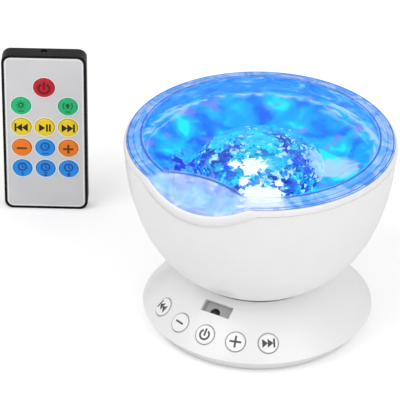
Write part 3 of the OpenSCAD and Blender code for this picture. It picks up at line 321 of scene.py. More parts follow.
def cover_acrylic(name):
    """Clear blue moulded acrylic. Its mesh says how blue and how cloudy each place is:
    the crown is clear, and the flange, the scoop and the moulded lines are thicker and cloudy. The mesh
    also holds painted light: a painted reflection in the scoop, a painted glare at the front, and painted
    shade that darkens the lines, the cover's edge and the crease of the dip."""
    material, tree, shader = surface(name, Roughness=0.03, IOR=1.12, Specular_IOR_Level=0.4)
    place = coords(tree)
    streaks = noise_tex(tree, place, 85.0, 2.5, 0.5, 1.6)
    tint = attribute(tree, "tint")
    cloud = attribute(tree, "cloud", "Fac")
    pale = mix_colour(tree, 0.8, tint, (0.7, 0.83, 1.0))
    # Painted reflections: pale streaks that show only where the acrylic is cloudy, and keep off the dark
    # moulded lines
    reflection_streaks = times(tree, to_range(tree, streaks, 0.1, 1.4, 0.44, 0.6), cloud)
    brightness = split(tree, "Color", tint)["Green"]
    reflection_streaks = times(tree, reflection_streaks, to_range(tree, brightness, 0.0, 1.0, 0.2, 0.5))
    plug(tree, mix_colour(tree, reflection_streaks, tint, pale), shader, "Base Color")
    swirl = times(tree, cloud, to_range(tree, streaks, 0.75, 1.1, 0.35, 0.6))
    plug(tree, calculate(tree, "SUBTRACT", 1.0, swirl), shader, "Transmission Weight")
    bump(tree, shader, noise_tex(tree, place, 60.0, 2.0, 0.5, 0.8), 0.2, 0.0008)
    return material


def lit_dish(name):
    """White dish lit from below through the turning ripple disc: soft blue water with cyan and violet
    spots. The mesh says where the lamp's pale and white patches and the crystal's dark caustics fall."""
    material, tree, shader = surface(name, Base_Color=(0.0, 0.04, 0.2, 1), Roughness=0.3,
                                     Specular_IOR_Level=0.06, Emission_Strength=0.95)
    place = coords(tree)
    water = ramp(tree, noise_tex(tree, place, 78.0, 1.6, 0.5, 0.5), [
        (0.30, (0.0, 0.12, 0.92)), (0.40, (0.0, 0.23, 1.0)), (0.51, (0.0, 0.41, 1.0)),
        (0.60, (0.0, 0.56, 1.0)), (0.69, (0.0, 0.95, 0.98))], "EASE")
    violet = noise_tex(tree, coords(tree, turn=(0.4, 0, 1.1)), 90.0, 1.0)
    water = mix_colour(tree, to_range(tree, violet, 0.0, 0.75, 0.58, 0.7), water, (0.28, 0.24, 0.95))
    wisps = noise_tex(tree, place, 150.0, 3.0, 0.55, 2.5)
    water = mix_colour(tree, to_range(tree, wisps, 0.0, 0.55, 0.58, 0.74), water, (0.16, 0.56, 1.0))
    spots = split(tree, "Color", attribute(tree, "spots"))
    water = mix_colour(tree, spots["Blue"], water, (0.0, 0.015, 0.55))
    water = mix_colour(tree, spots["Red"], water, (0.6, 0.76, 1.02))
    water = mix_colour(tree, spots["Green"], water, (1.25, 1.25, 1.25))
    plug(tree, water, shader, "Emission Color")
    bump(tree, shader, noise_tex(tree, place, 210.0, 2.0, 0.6, 1.2), 0.3, 0.0005)
    return material


def rippled(name):
    """Clear ripple disc with the lamps' light in it."""
    material, tree, shader = surface(name, Base_Color=(0.02, 0.15, 0.6, 1), Roughness=0.12,
                                     Specular_IOR_Level=0.6, Emission_Strength=1.1)
    place = coords(tree)
    glow = ramp(tree, noise_tex(tree, place, 90.0, 3.0, 0.55, 0.9), [
        (0.3, (0.0, 0.3, 0.9)), (0.5, (0.1, 0.7, 1.0)), (0.75, (0.9, 1.0, 1.0))], "EASE")
    plug(tree, glow, shader, "Emission Color")
    bump(tree, shader, noise_tex(tree, place, 300.0, 2.0, 0.6, 1.2), 0.5, 0.0006)
    return material


def crystal_acrylic(name):
    """Faceted clear acrylic: each facet has its own tint and share of the light."""
    material, tree, shader = surface(name, Roughness=0.05, Specular_IOR_Level=0.4, Coat_Weight=0.1,
                                     Coat_Roughness=0.03, Emission_Strength=1.0)
    plug(tree, attribute(tree, "facet"), shader, "Emission Color")
    depth = noise_tex(tree, coords(tree), 160.0)
    deep_blue = ramp(tree, depth, [(0.3, (0.0, 0.02, 0.1)), (0.7, (0.0, 0.07, 0.2))])
    plug(tree, deep_blue, shader, "Base Color")
    return material


def groove_shadow(tree, colour):
    """Grey in the groove round each of the base's five buttons."""
    place = coords(tree)
    nearest = 1.0
    for matrix in button_frames():
        distance = add(tree, "ShaderNodeVectorMath", operation="DISTANCE")
        plug(tree, place, distance, 0)
        plug(tree, matrix.translation * MM, distance, 1)
        nearest = calculate(tree, "MINIMUM", distance.outputs["Value"], nearest)
    groove = to_range(tree, nearest, 0.8, 0.0, GROOVE_IN, GROOVE_OUT)
    return mix_colour(tree, groove, colour, (0.27, 0.27, 0.275))


def light_inside(tree, shader, colour, wall):
    """Blue light on a wall's inside above the dish, within the radius `wall`. The outside keeps its
    colour. Returns the colour under the light."""
    x, y, z = split(tree, "XYZ", coords(tree))
    square = calculate(tree, "ADD", times(tree, x, x), times(tree, y, y))
    inside = calculate(tree, "LESS_THAN", square, wall ** 2)
    lit = times(tree, inside, to_range(tree, z, 0.0, 1.0, LIT_FROM_Z, LIT_FULL_Z))
    streaks = noise_tex(tree, coords(tree, scale=(1, 1, 3.2)), 70.0, 3.0, 0.55, 1.8)
    glow = ramp(tree, streaks, [(0.3, (0.0, 0.15, 0.8)), (0.5, (0.01, 0.29, 0.9)),
                                (0.62, (0.12, 0.45, 0.98)), (0.7, (0.5, 0.7, 1.0))], "EASE")
    plug(tree, glow, shader, "Emission Color")
    plug(tree, times(tree, lit, 0.85), shader, "Emission Strength")
    return mix_colour(tree, lit, colour, (0.02, 0.12, 0.5))


WHITE, RIM_WHITE, BUTTON_WHITE = (0.80, 0.80, 0.805), (0.79, 0.785, 0.79), (0.84, 0.84, 0.845)
SHELL = dict(rough=0.33, vary=0.015, grain=0.08, grain_scale=1500, coat=0.25)
MATERIAL = {
    "shell": plastic("shell_plastic", WHITE, **SHELL),
    "base": plastic("base_plastic", WHITE, **SHELL, grooves=True),
    "bowl": plastic("bowl_plastic", WHITE, **SHELL, lit_within=BOWL_LIT_R),
    "rim": plastic("rim_plastic", RIM_WHITE, 0.25, 0.01, 0.04, 1500, coat=0.4, lit_within=RIM_LIT_R),
    "button": plastic("button_plastic", BUTTON_WHITE, 0.28, 0.01, 0.05, 1500, coat=0.3),
    "rubber": rubber("foot_rubber", (0.03, 0.03, 0.032)),
    "screw": metal("screw_metal", (0.62, 0.62, 0.64), 0.28),
    "steel": metal("steel", (0.7, 0.7, 0.72), 0.25, (1, 1, 8)),
    "dark_steel": metal("dark_steel", (0.42, 0.42, 0.44), 0.35),
    "cone": plastic("cone_paper", (0.02, 0.02, 0.022), 0.75, 0.2, 0.6, 900),
    "board": board("solder_mask", (0.02, 0.13, 0.06)),
    "white_board": board("white_board", (0.75, 0.76, 0.74)),
    "black": plastic("part_black", (0.015, 0.015, 0.017), 0.4, 0.15, 0.2, 1600),
    "eye": plastic("eye_black", (0.003, 0.003, 0.004), 0.12, 0.1, 0.02, 900, coat=0.2, spec=0.3),
    "pocket": plastic("pocket_grey", (0.42, 0.42, 0.425), 0.5, 0.05, 0.2, 1400),
    "deck": plastic("deck_plastic", (0.62, 0.62, 0.63), 0.45, 0.03, 0.15, 1200),
    "led": plastic("led_epoxy", (0.8, 0.9, 1.0), 0.1, 0.02, 0.02, 800, coat=1.0),
    "nylon": plastic("gear_nylon", (0.74, 0.71, 0.62), 0.42, 0.04, 0.12, 1300),
    "case": plastic("case_black", (0.004, 0.004, 0.005), 0.4, 0.15, 0.25, 1500, spec=0.12),
    "face": plastic("face_film", (0.645, 0.64, 0.655), 0.42, 0.05, 0.1, 1700),
    "bevel": plastic("face_bevel", (0.88, 0.88, 0.9), 0.3, 0.02, 0.1, 1500),
    "cover": cover_acrylic("cover_acrylic"),
    "crystal": crystal_acrylic("crystal_acrylic"),
    "dish": lit_dish("lit_dish"),
    "ripple": rippled("lit_ripple"),
    "icon_grey": flat_ink("icon_grey", (0.065, 0.065, 0.068)),
}

# For each hue of key: the key's colour and how far it varies, the ring round it, and its ink
HUES = {
    "red": ((0.56, 0.002, 0.016), 0.1, (0.93, 0.74, 0.74), "ink_red", (0.13, 0.002, 0.006)),
    "green": ((0.012, 0.48, 0.18), 0.08, (0.66, 0.92, 0.82), "ink_green", (0.0, 0.11, 0.045)),
    "yellow": ((0.86, 0.62, 0.012), 0.08, (0.93, 0.88, 0.55), "ink_black", (0.012, 0.01, 0.008)),
    "orange": ((0.86, 0.2, 0.006), 0.1, (0.95, 0.8, 0.62), "ink_brown", (0.16, 0.035, 0.003)),
    "blue": ((0.012, 0.27, 0.83), 0.1, (0.7, 0.87, 0.95), "ink_blue", (0.002, 0.06, 0.36)),
}
for hue, (key_colour, key_vary, halo_colour, ink_name, ink_colour) in HUES.items():
    MATERIAL[hue] = plastic("key_" + hue, key_colour, 0.32, key_vary, 0.1, 1300, coat=0.1, spec=0.25)
    MATERIAL[hue + "_halo"] = plastic("halo_" + hue, halo_colour, 0.4, 0.02, 0.1, 1500)
    MATERIAL[hue + "_ink"] = flat_ink(ink_name, ink_colour)

# The CAD nodes of each material, apart from the keys
BUTTONS = ["previous_button", "volume_down_button", "power_button", "volume_up_button", "next_button"]
NODES_OF_MATERIAL = {
    "base": ["base_shell"],
    "shell": ["tilt_cradle", "bottom_cover"],
    "button": BUTTONS,
    "rubber": ["rubber_feet"],
    "screw": ["base_screws", "deck_screws", "tilt_screw"],
    "steel": ["speaker_magnet", "usb_port", "card_slot", "motor", "center_axle", "tilt_washer",
              "tilt_spring", "key_domes", "coin_cell"],
    "dark_steel": ["speaker_frame"],
    "cone": ["speaker_cone"],
    "board": ["main_board", "button_strip", "remote_board"],
    "black": ["aux_jack", "button_switches"],
    "eye": ["ir_receiver", "ir_led"],
    "pocket": ["ir_pocket"],
    "bowl": ["bowl_shell"],
    "rim": ["rim_ring"],
    "cover": ["top_cover"],
    "crystal": ["crystal_dome"],
    "dish": ["reflector"],
    "ripple": ["wave_disc"],
    "deck": ["deck_plate"],
    "white_board": ["led_board"],
    "led": ["leds"],
    "nylon": ["disc_gear", "idler_gear", "motor_pinion"],
    "case": ["remote_back", "remote_front", "battery_cap"],
    "face": ["remote_faceplate"],
}


def dress_nodes():
    """Gives each CAD node its material. A key's is that of its hue."""
    kinds = {name: kind for kind, names in NODES_OF_MATERIAL.items() for name in names}
    kinds.update({key: hue for key, (*_, hue) in KEYS.items()})
    for name, kind in kinds.items():
        mesh = nodes[name].data
        mesh.materials.clear()
        mesh.materials.append(MATERIAL[kind])


# Mesh helpers
def new_object(name, data):
    thing = bpy.data.objects.new(name, data)
    bpy.context.scene.collection.objects.link(thing)
    return thing


def make_object(name, verts, faces, material, smooth=False):
    mesh = bpy.data.meshes.new(name)
    mesh.from_pydata([tuple(v) for v in verts], [], faces)
    mesh.validate()
    mesh.update()
    bm = bmesh.new()
    bm.from_mesh(mesh)
    bmesh.ops.recalc_face_normals(bm, faces=bm.faces)
    bm.to_mesh(mesh)
    bm.free()
    for polygon in mesh.polygons:
        polygon.use_smooth = smooth
    mesh.materials.append(material)
    return new_object(name, mesh)


def paint(mesh, name, kind, domain, values):
    """Writes one colour or number for each point or face corner of a mesh, for its material to read."""
    layer = mesh.attributes.new(name, kind, domain)
    if kind == "FLOAT_COLOR":
        layer.data.foreach_set("color", [v for value in values for v in (*value, 1.0)])
    else:
        layer.data.foreach_set("value", values)


def dress(piece, body, replaced=None):
    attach(piece, body)
    if replaced:
        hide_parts(replaced)


def around(r, steps=TURN_STEPS):
    """Places on a circle about the Z axis."""
    angles = [2 * math.pi * k / steps for k in range(steps)]
    return [(r * math.cos(a), r * math.sin(a)) for a in angles]


def bridge(a, b, steps=TURN_STEPS):
    """Faces between two rings of points, whose first points are a and b."""
    return [[a + k, b + k, b + (k + 1) % steps, a + (k + 1) % steps] for k in range(steps)]


def bridge_all(start, rings, steps=TURN_STEPS):
    """Faces between each of some rings of points and the next."""
    firsts = [start + i * steps for i in range(rings)]
    return [face for a, b in zip(firsts, firsts[1:]) for face in bridge(a, b, steps)]


def prism(loops, place, half_thick):
    """Thin printed shapes: each loop is an outline, placed by place(x, y, lift) on a curved surface."""
    verts, faces = [], []
    for loop in loops:
        count, first = len(loop), len(verts)
        verts += [place(x, y, half_thick) for x, y in loop]
        verts += [place(x, y, -half_thick) for x, y in loop]
        faces.append(list(range(first, first + count)))
        faces.append(list(range(first + 2 * count - 1, first + count - 1, -1)))
        for i in range(count):
            a, b = first + i, first + (i + 1) % count
            faces.append([a, a + count, b + count, b])
    return verts, faces


# Outlines of symbols, on a cap of radius 1
def stroke(points, width):
    """A line of even width as short convex pieces."""
    loops = []
    for (x0, y0), (x1, y1) in zip(points, points[1:]):
        length = math.hypot(x1 - x0, y1 - y0)
        ux, uy = (x1 - x0) / length, (y1 - y0) / length
        overlap = width * STROKE_OVERLAP
        nx, ny = -uy * width / 2, ux * width / 2
        ax, ay = x0 - ux * overlap, y0 - uy * overlap
        bx, by = x1 + ux * overlap, y1 + uy * overlap
        loops.append([(ax + nx, ay + ny), (ax - nx, ay - ny), (bx - nx, by - ny), (bx + nx, by + ny)])
    return loops


def arc_points(cx, cy, r, start, end, count=20):
    angles = [math.radians(start + (end - start) * i / count) for i in range(count + 1)]
    return [(cx + r * math.cos(a), cy + r * math.sin(a)) for a in angles]


def ring_loops(cx, cy, inner_r, outer_r, start=0, end=360, count=48):
    inner = arc_points(cx, cy, inner_r, start, end, count)
    outer = arc_points(cx, cy, outer_r, start, end, count)
    return [[inner[i], outer[i], outer[i + 1], inner[i + 1]] for i in range(count)]


def triangle(cx, cy, w, h, right=True):
    """A play arrow as small blocks, so that it follows a domed key."""
    side = 1 if right else -1
    strips, rows = 5, 6
    start = cx - side * w / 2
    loops = []
    for i in range(strips):
        x0, x1 = start + side * w * i / strips, start + side * w * (i + 1) / strips
        h0, h1 = h / 2 * (1 - i / strips), h / 2 * (1 - (i + 1) / strips)
        for j in range(rows):
            low, high = 2 * j / rows - 1, 2 * (j + 1) / rows - 1
            block = [(x0, cy + h0 * low), (x1, cy + h1 * low), (x1, cy + h1 * high), (x0, cy + h0 * high)]
            loops.append(block if h1 > 0 else [block[0], block[1], block[3]])
    return loops


def bar(cx, cy, w, h):
    """A bar as short blocks, so that it follows a domed key."""
    count = max(1, round(max(w, h) / BLOCK))
    step_x, step_y = (w / count, 0) if w >= h else (0, h / count)
    x0, y0 = cx - w / 2, cy - h / 2
    x1, y1 = x0 + (step_x or w), y0 + (step_y or h)
    block = [(x0, y0), (x1, y0), (x1, y1), (x0, y1)]
    return [[(x + step_x * i, y + step_y * i) for x, y in block] for i in range(count)]


def scaled(loops, k):
    return [[(x * k, y * k) for x, y in loop] for loop in loops]


def icon_power(width=0.19):
    return ring_loops(0, -0.02, 0.56 - width, 0.56, 120, 420, 40) + bar(0, 0.24, width, 0.74)


def icon_skip(right=True):
    side = 1 if right else -1
    arrow_w, bar_w, h = 0.54, 0.18, 0.86
    arrows = triangle(-0.32 * side, 0, arrow_w, h, right) + triangle(0.2 * side, 0, arrow_w, h, right)
    return arrows + bar(0.55 * side, 0, bar_w, h)


def icon_play():
    bar_w, bar_h = 0.17, 0.78
    return triangle(-0.24, 0, 0.58, 0.82) + bar(0.21, 0, bar_w, bar_h) + bar(0.48, 0, bar_w, bar_h)


def icon_minus(width=0.18):
    return bar(0, 0, 0.95, width)


def icon_plus(width=0.19, size=1.15):
    arm = (size - width) / 2
    middle = (size + width) / 4
    return bar(0, 0, size, width) + bar(0, middle, width, arm) + bar(0, -middle, width, arm)


def icon_clock(digit):
    """A clock face over a number of hours, or over a dash."""
    face = ring_loops(0, 0.22, 0.3, 0.44, count=32)
    hands = stroke([(0, 0.44), (0, 0.22), (0.18, 0.12)], LINE)
    shapes = {
        "1": [(-0.08, -0.42), (0.02, -0.34), (0.02, -0.72)],
        "2": [(-0.13, -0.42), (-0.04, -0.34), (0.08, -0.36), (0.1, -0.47), (-0.14, -0.71), (0.14, -0.71)],
        "4": [(0.06, -0.72), (0.06, -0.34), (-0.16, -0.6), (0.15, -0.6)],
        "-": [(-0.3, -0.53), (0.3, -0.53)],
    }
    return face + hands + stroke(shapes[digit], LINE)


def icon_sun():
    middle, ray_in, ray_out, ray_width = 0.16, 0.36, 0.47, 0.09
    loops = ring_loops(0, middle, 0.14, 0.28, count=28)
    for i in range(8):
        c, s = math.cos(math.radians(i * 45)), math.sin(math.radians(i * 45))
        ray = [(ray_in * c, middle + ray_in * s), (ray_out * c, middle + ray_out * s)]
        loops += stroke(ray, ray_width)
    return loops + bar(0, -0.48, 0.56, LINE)


def icon_lamp():
    loops = [arc_points(0, 0.2, 0.2, -50, 230) + [(-0.1, -0.1), (0.1, -0.1)]]
    for start in (130, -50):
        loops += ring_loops(0, 0.14, 0.38, 0.48, start, start + 100, 12)
    return loops + bar(0, -0.48, 0.5, LINE)


# Symbols of the base's buttons
def cap_rise(r, cap_r, middle, shoulder):
    """Height of a shallow domed cap over its edge: `middle` at its centre, `shoulder` halfway out."""
    half = cap_r / 2
    if r < half:
        return middle - (middle - shoulder) * r / half
    return shoulder * (1 - (r - half) / (half - CAP_EDGE))


def button_icons():
    middle, shoulder = 0.15, 0.12
    shapes = [icon_skip(False), icon_minus(), icon_power(), icon_plus(), icon_skip(True)]
    for button, loops, matrix in zip(BUTTONS, shapes, button_frames()):

        def place(x, y, lift):
            rise = cap_rise(math.hypot(x, y), BUTTON_R, middle, shoulder)
            return matrix @ Vector((x, y, BUTTON_PROUD + rise + lift)) * MM

        verts, faces = prism(scaled(loops, BUTTON_R * BUTTON_SYMBOL), place, BUTTON_INK)
        dress(make_object(button + "_icon", verts, faces, MATERIAL["icon_grey"]), button)


# Symbols, surrounds and face edge of the remote
REMOTE = Matrix.Rotation(math.radians(REMOTE_TURN), 4, "Z") @ Matrix.Translation((*REMOTE_PLACE, 0))
FACE_Y = -REMOTE_T / 2 + 0.05
POWER_ROW = REMOTE_H - KEY_TOP
ROWS = [POWER_ROW] + [POWER_ROW + POWER_ROW_NEARER - KEY_PITCH_Z * i for i in range(1, 5)]
# For each key: its column and row, its radius, its symbol and its hue
KEYS = {
    "key_power": (0, 0, POWER_R, icon_power(0.2), "red"),
    "key_light": (-1, 1, KEY_R, icon_sun(), "green"),
    "key_dimmer": (1, 1, KEY_R, icon_lamp(), "green"),
    "key_previous": (-1, 2, KEY_R, icon_skip(False), "yellow"),
    "key_play": (0, 2, KEY_R, icon_play(), "yellow"),
    "key_next": (1, 2, KEY_R, icon_skip(True), "yellow"),
    "key_volume_down": (-1, 3, KEY_R, icon_minus(0.21), "orange"),
    "key_mode": (0, 3, KEY_R, icon_clock("-"), "blue"),
    "key_volume_up": (1, 3, KEY_R, icon_plus(0.21, 0.95), "orange"),
    "key_timer_1": (-1, 4, KEY_R, icon_clock("1"), "blue"),
    "key_timer_2": (0, 4, KEY_R, icon_clock("2"), "blue"),
    "key_timer_4": (1, 4, KEY_R, icon_clock("4"), "blue"),
}


def key_icons():
    middle, shoulder = 0.2, 0.15
    for key, (column, row, key_r, loops, hue) in KEYS.items():

        def place(x, y, lift):
            rise = cap_rise(math.hypot(x, y), key_r, middle, shoulder)
            front = FACE_Y - KEY_PROUD - rise - lift
            return REMOTE @ Vector((column * KEY_PITCH_X + x, front, ROWS[row] + y)) * MM

        verts, faces = prism(scaled(loops, key_r * KEY_SYMBOL), place, KEY_INK)
        dress(make_object(key + "_icon", verts, faces, MATERIAL[hue + "_ink"]), key)


def on_face(x, y, lift):
    return REMOTE @ Vector((x, FACE_Y - lift, y)) * MM


def key_surrounds():
    """Pale printed rings round the keys, tinted like their key."""
    gap, width = 0.3, 0.6
    for hue in HUES:
        loops = []
        for column, row, key_r, _, key_hue in KEYS.values():
            if key_hue == hue:
                loops += ring_loops(column * KEY_PITCH_X, ROWS[row], key_r + gap, key_r + gap + width)
        verts, faces = prism(loops, on_face, HALO_INK)
        rings = make_object("surrounds_" + hue, verts, faces, MATERIAL[hue + "_halo"])
        dress(rings, "handset")


def face_edge():
    """Thin pale bevel of the faceplate along the case's edge."""
    corner, inset, width = 4.2, 1.75, 0.5

    def outline(gap):
        w, h, r = REMOTE_W / 2 - gap, REMOTE_H / 2 - gap, corner - gap
        points = []
        for cx, cz, a in ((w - r, h - r, 0), (r - w, h - r, 90), (r - w, r - h, 180), (w - r, r - h, 270)):
            points += arc_points(cx, REMOTE_H / 2 + cz, r, a, a + 90, 10)
        return points

    outer, inner = outline(inset), outline(inset + width)
    loops = [[outer[i - 1], outer[i], inner[i], inner[i - 1]] for i in range(len(outer))]
    verts, faces = prism(loops, on_face, BEVEL_INK)
    dress(make_object("faceplate_edge", verts, faces, MATERIAL["bevel"]), "handset")


def round_case_edges():
    """Modifiers that round the case's sharp edges. The meshes themselves stay as they are."""
    rounding = 0.5
    for name in ("remote_front", "remote_back"):
        weld = nodes[name].modifiers.new("weld", "WELD")
        weld.merge_threshold = 0.01 * MM
        bevel = nodes[name].modifiers.new("bevel", "BEVEL")
        bevel.width = rounding * MM
        bevel.segments = 2
        bevel.limit_method = "ANGLE"
        bevel.angle_limit = math.radians(40)


# Forms of the bowl's top
def smooth_min(a, b, blend):
    overlap = max(blend - abs(a - b), 0.0)
    return min(a, b) - overlap * overlap / (4 * blend)


def soft_step(low, high, value):
    t = clamp((value - low) / (high - low))
    return t * t * (3 - 2 * t)


def bell(distance, width):
    return math.exp(-(distance / width) ** 2)


def mixed(a, b, share):
    """Colour a with a share of colour b."""
    return tuple(p + (q - p) * share for p, q in zip(a, b))


def from_patch(x, y, patch):
    """How far a place lies from a patch's middle. The patch's own border is at 1."""
    middle_x, middle_y, half_w, half_h = patch
    return math.hypot((x - middle_x) / half_w, (y - middle_y) / half_h)


def blotches(x, y, size, layer=0):
    """Smooth noise from -1 to 1, in blotches of about that size. Each layer has other ones."""
    return noise.noise(Vector((x, y, layer)) / size)


def seen(x, y):
    """A place's distances to the right and nearer, along the photograph's directions."""
    c, s = math.cos(VIEW_TURN), math.sin(VIEW_TURN)
    return x * c + y * s, x * s - y * c


def dip_height(x, y, drop=0.0):
    """Height of the tilted cylinder that cuts the dip, or of the surface `drop` under it."""
    slope = math.radians(DIP_SLOPE)
    sag = DIP_R - drop - math.sqrt(DIP_R ** 2 - x ** 2)
    return DIP_Z + (y - DIP_Y) * math.tan(slope) + sag / math.cos(slope)


def crown_height(r):
    """Height of the cover without its dip: a shallow crown, a slope, and a flange with a soft edge."""
    if r <= CROWN_R:
        return CROWN_TOP - (CROWN_TOP - CROWN_EDGE) * (r / CROWN_R) ** 2
    edge = CROWN_EDGE + (COVER_TOP - CROWN_EDGE) * soft_step(CROWN_R, OUTER_LINE_R + 1.2, r)
    return edge - 0.9 * soft_step(COVER_R - 0.55, COVER_R + 0.1, r)


def moulded_lines(r):
    """Height of the two fine raised lines of the cover."""
    return 0.42 * bell(r - CROWN_R, 0.42) + 0.22 * bell(r - OUTER_LINE_R, 0.4)


def cover_height(x, y, lines=True):
    """Height of the cover, with or without its raised lines."""
    r = math.hypot(x, y)
    crown = crown_height(r) + (moulded_lines(r) if lines else 0.0)
    return smooth_min(crown, dip_height(x, y), 1.0)


# Tints of the cover and of its painted reflection and glare, and the patch of painted reflection in its
# scoop: x, y, half width, half depth
CLEAR_TINT, DEEP_TINT = (0.52, 0.86, 1.0), (0.0, 0.1, 0.66)
FLANGE_TINT, SCOOP_TINT = (0.24, 0.6, 1.0), (0.66, 0.78, 1.0)
REFLECTION_TINT, GLARE_TINT = (0.87, 0.89, 1.0), (0.85, 0.93, 1.0)
SCOOP_REFLECTION = (-27, -49.5, 11, 6.5)


def painted_line_shade(r, depth, dip, glare):
    """Painted shade: the darkness of the moulded lines, the cover's edge, and the crease where the dip
    starts.
    """
    crease = bell(depth, 0.6) * (0.95 - 0.6 * soft_step(CROWN_R - 3, CROWN_R + 2, r))
    line = max(bell(r - CROWN_R - 0.1, 0.75), 0.8 * bell(r - OUTER_LINE_R, 0.5))
    edge = max(bell(r - COVER_R + 0.95, 0.4), 0.7 * soft_step(COVER_R - 0.6, COVER_R - 0.3, r))
    return max(crease, line * (1 - dip) * (1 - 0.85 * glare), edge * (1 - 0.6 * dip))


def cover_look(x, y):
    """Tint and cloudiness of the cover at a place seen from above, with a painted reflection in the scoop,
    a painted glare at the front of the flange, and painted shade along its lines, edge and crease.
    """
    r = math.hypot(x, y)
    depth = crown_height(r) - dip_height(x, y)
    dip = soft_step(-0.2, 0.9, depth)
    flange = soft_step(CROWN_R + 0.3, CROWN_R + 1.0, r) * (1 - dip)
    tint = mixed(mixed(CLEAR_TINT, FLANGE_TINT, flange), SCOOP_TINT, 0.9 * dip)
    cloud = 0.5 * flange * (1 - dip) + 0.55 * dip
    # A pale painted reflection in the scoop, which also makes it cloudier
    patch = from_patch(x, y, SCOOP_REFLECTION) + 0.3 * blotches(x, y, 5)
    lit = dip * (1 - soft_step(0.75, 1.15, patch))
    tint = mixed(tint, REFLECTION_TINT, lit)
    cloud += 0.4 * lit
    right, near = seen(x, y)
    glare = soft_step(54.5, 57.5, near) * (1 - dip)
    glare *= soft_step(-12, -8, right) * (1 - soft_step(9, 13, right))
    tint = mixed(tint, GLARE_TINT, 0.9 * glare)
    cloud += 0.35 * glare
    # Painted shade along the lines, the edge and the crease, which also makes them cloudier
    dark = painted_line_shade(r, depth, dip, glare)
    return mixed(tint, DEEP_TINT, dark), min(1.0, cloud + 0.9 * dark)


def cover_radii():
    """Radii of the cover's rings of points: wide steps in the middle, fine ones over the lines."""
    inner = [1.5 + 4.25 * i for i in range(10)]
    start, step = 41.0, 0.42
    count = round((COVER_R - start) / step)
    return inner + [start + (COVER_R - start) * i / count for i in range(count + 1)]


def top_cover():
    """The cover as one closed shell: its upper face, the hollow under it, and the skirt at its edge."""
    seat, skirt_wall, skirt_drop, flange_drop = RIM_IN - 0.3, 1.7, 2.9, 0.85
    radii = cover_radii()
    upper = [(0, 0)] + [place for r in radii for place in around(r)]
    verts = [Vector((x, y, cover_height(x, y))) for x, y in upper]
    looks = [cover_look(x, y) for x, y in upper]
    low_radii = [r for r in radii if r < RIM_IN - 2.2][::2]
    verts.append(Vector((0, 0, CROWN_TOP - COVER_WALL)))
    for r in low_radii:
        verts += [Vector((x, y, cover_height(x, y, lines=False) - COVER_WALL)) for x, y in around(r)]
    skirt = ((seat - skirt_wall, skirt_drop), (seat, skirt_drop), (seat, flange_drop),
             (COVER_R - 0.1, flange_drop))
    for r, down in skirt:
        verts += [Vector((x, y, min(COVER_TOP, dip_height(x, y)) - down)) for x, y in around(r)]
    plain_look = ((1.0, 1.0, 1.0), 0.0)
    looks += [plain_look] * (len(verts) - len(upper))
    faces = []
    for start, rings in ((1, len(radii)), (len(upper) + 1, len(low_radii) + len(skirt))):
        faces += [[start - 1, start + k, start + (k + 1) % TURN_STEPS] for k in range(TURN_STEPS)]
        faces += bridge_all(start, rings)
    faces += bridge(len(upper) - TURN_STEPS, len(verts) - TURN_STEPS)
    piece = make_object("cover_lens", [v * MM for v in verts], faces, MATERIAL["cover"], smooth=True)
    paint(piece.data, "tint", "FLOAT_COLOR", "POINT", [colour for colour, _ in looks])
    paint(piece.data, "cloud", "FLOAT", "POINT", [amount for _, amount in looks])
    dress(piece, "head", "top_cover")


def rim_band():
    """The white rim: a soft shoulder outside the cover's edge that widens into the lip of the dip."""
    shoulder, lip_fall, bends = 3.0, 1.3, 7
    top_z, under_dip, top_blend, low_blend = RIM_TOP - 0.75, 0.02, 0.6, 0.4
    start, end = COVER_R + 0.1, RIM_R - 0.1
    turns = [math.pi / 2 * i / bends for i in range(1, bends + 1)]
    section = [(RIM_IN, 0.0), (start, 0.0)]
    section += [(start + (end - start) * math.sin(t), 1 - math.cos(t)) for t in turns]
    foot = ((end, 0.15), (RIM_R - 0.25, 0.0), (RIM_IN, 0.0))
    count = len(section) + len(foot)
    verts, faces = [], []
    for k, (c, s) in enumerate(around(1.0)):
        dipped = soft_step(0.0, 3.0, RIM_TOP - dip_height(RIM_IN * c, RIM_IN * s))
        fall = shoulder + (lip_fall - shoulder) * dipped
        for r, drop in section:
            x, y = r * c, r * s
            top = smooth_min(top_z, dip_height(x, y) - under_dip, top_blend)
            verts.append(Vector((x, y, top - fall * drop)))
        for r, up in foot:
            x, y = r * c, r * s
            low = smooth_min(RIM_LOW, dip_height(x, y, DIP_DROP), low_blend)
            verts.append(Vector((x, y, low + up)))
        faces += bridge(k * count, (k + 1) % TURN_STEPS * count, count)
    piece = make_object("rim_band", [v * MM for v in verts], faces, MATERIAL["rim"], smooth=True)
    dress(piece, "head", "rim_ring")


# The crystal dome: pebbles of many small facets
TURQUOISE, CYAN, AZURE = (0.0, 0.55, 0.8), (0.0, 0.72, 1.0), (0.0, 0.27, 1.0)
DEEP, NAVY, PALE = (0.0, 0.05, 0.85), (0.0, 0.008, 0.42), (0.5, 0.8, 1.0)
PEBBLE_COLOURS = [TURQUOISE, CYAN, AZURE, DEEP, NAVY, PALE]
CALM_BLUE = (0.0, 0.45, 1.0)
HOT, LAVENDER = (1.3, 1.3, 1.3), (0.56, 0.73, 1.0)
SHADOW, LAGOON = (0.0, 0.005, 0.58), (0.0, 0.62, 0.9)
# Light and shadow on the crystal: colour, its share, and patches of right, near, half width, half depth
CRYSTAL_LIGHTS = [
    (LAGOON, 0.72, [(-20, -5, 5.5, 6), (-2, -2, 9, 5), (7.5, 15, 4.4, 5.2)]),
    (SHADOW, 0.72, [(-26, 6, 3.6, 3.8), (-23.5, 18, 3.4, 3.2), (-14, 22, 3.4, 2.6),
                    (15.5, 6.5, 3.6, 2.8), (19.5, 9, 2.8, 2.8), (15.5, 24, 3.4, 2.6)]),
    (HOT, 1.0, [(-3.5, 17.5, 6, 5.6), (-12, 15.5, 3, 2.4), (1.5, 29.8, 11.5, 2.8),
                (-7.5, 25, 2.8, 1.8), (9, 25.5, 2, 1.4)]),
    (LAVENDER, 0.72, [(29, 3, 7.5, 11)]),
]


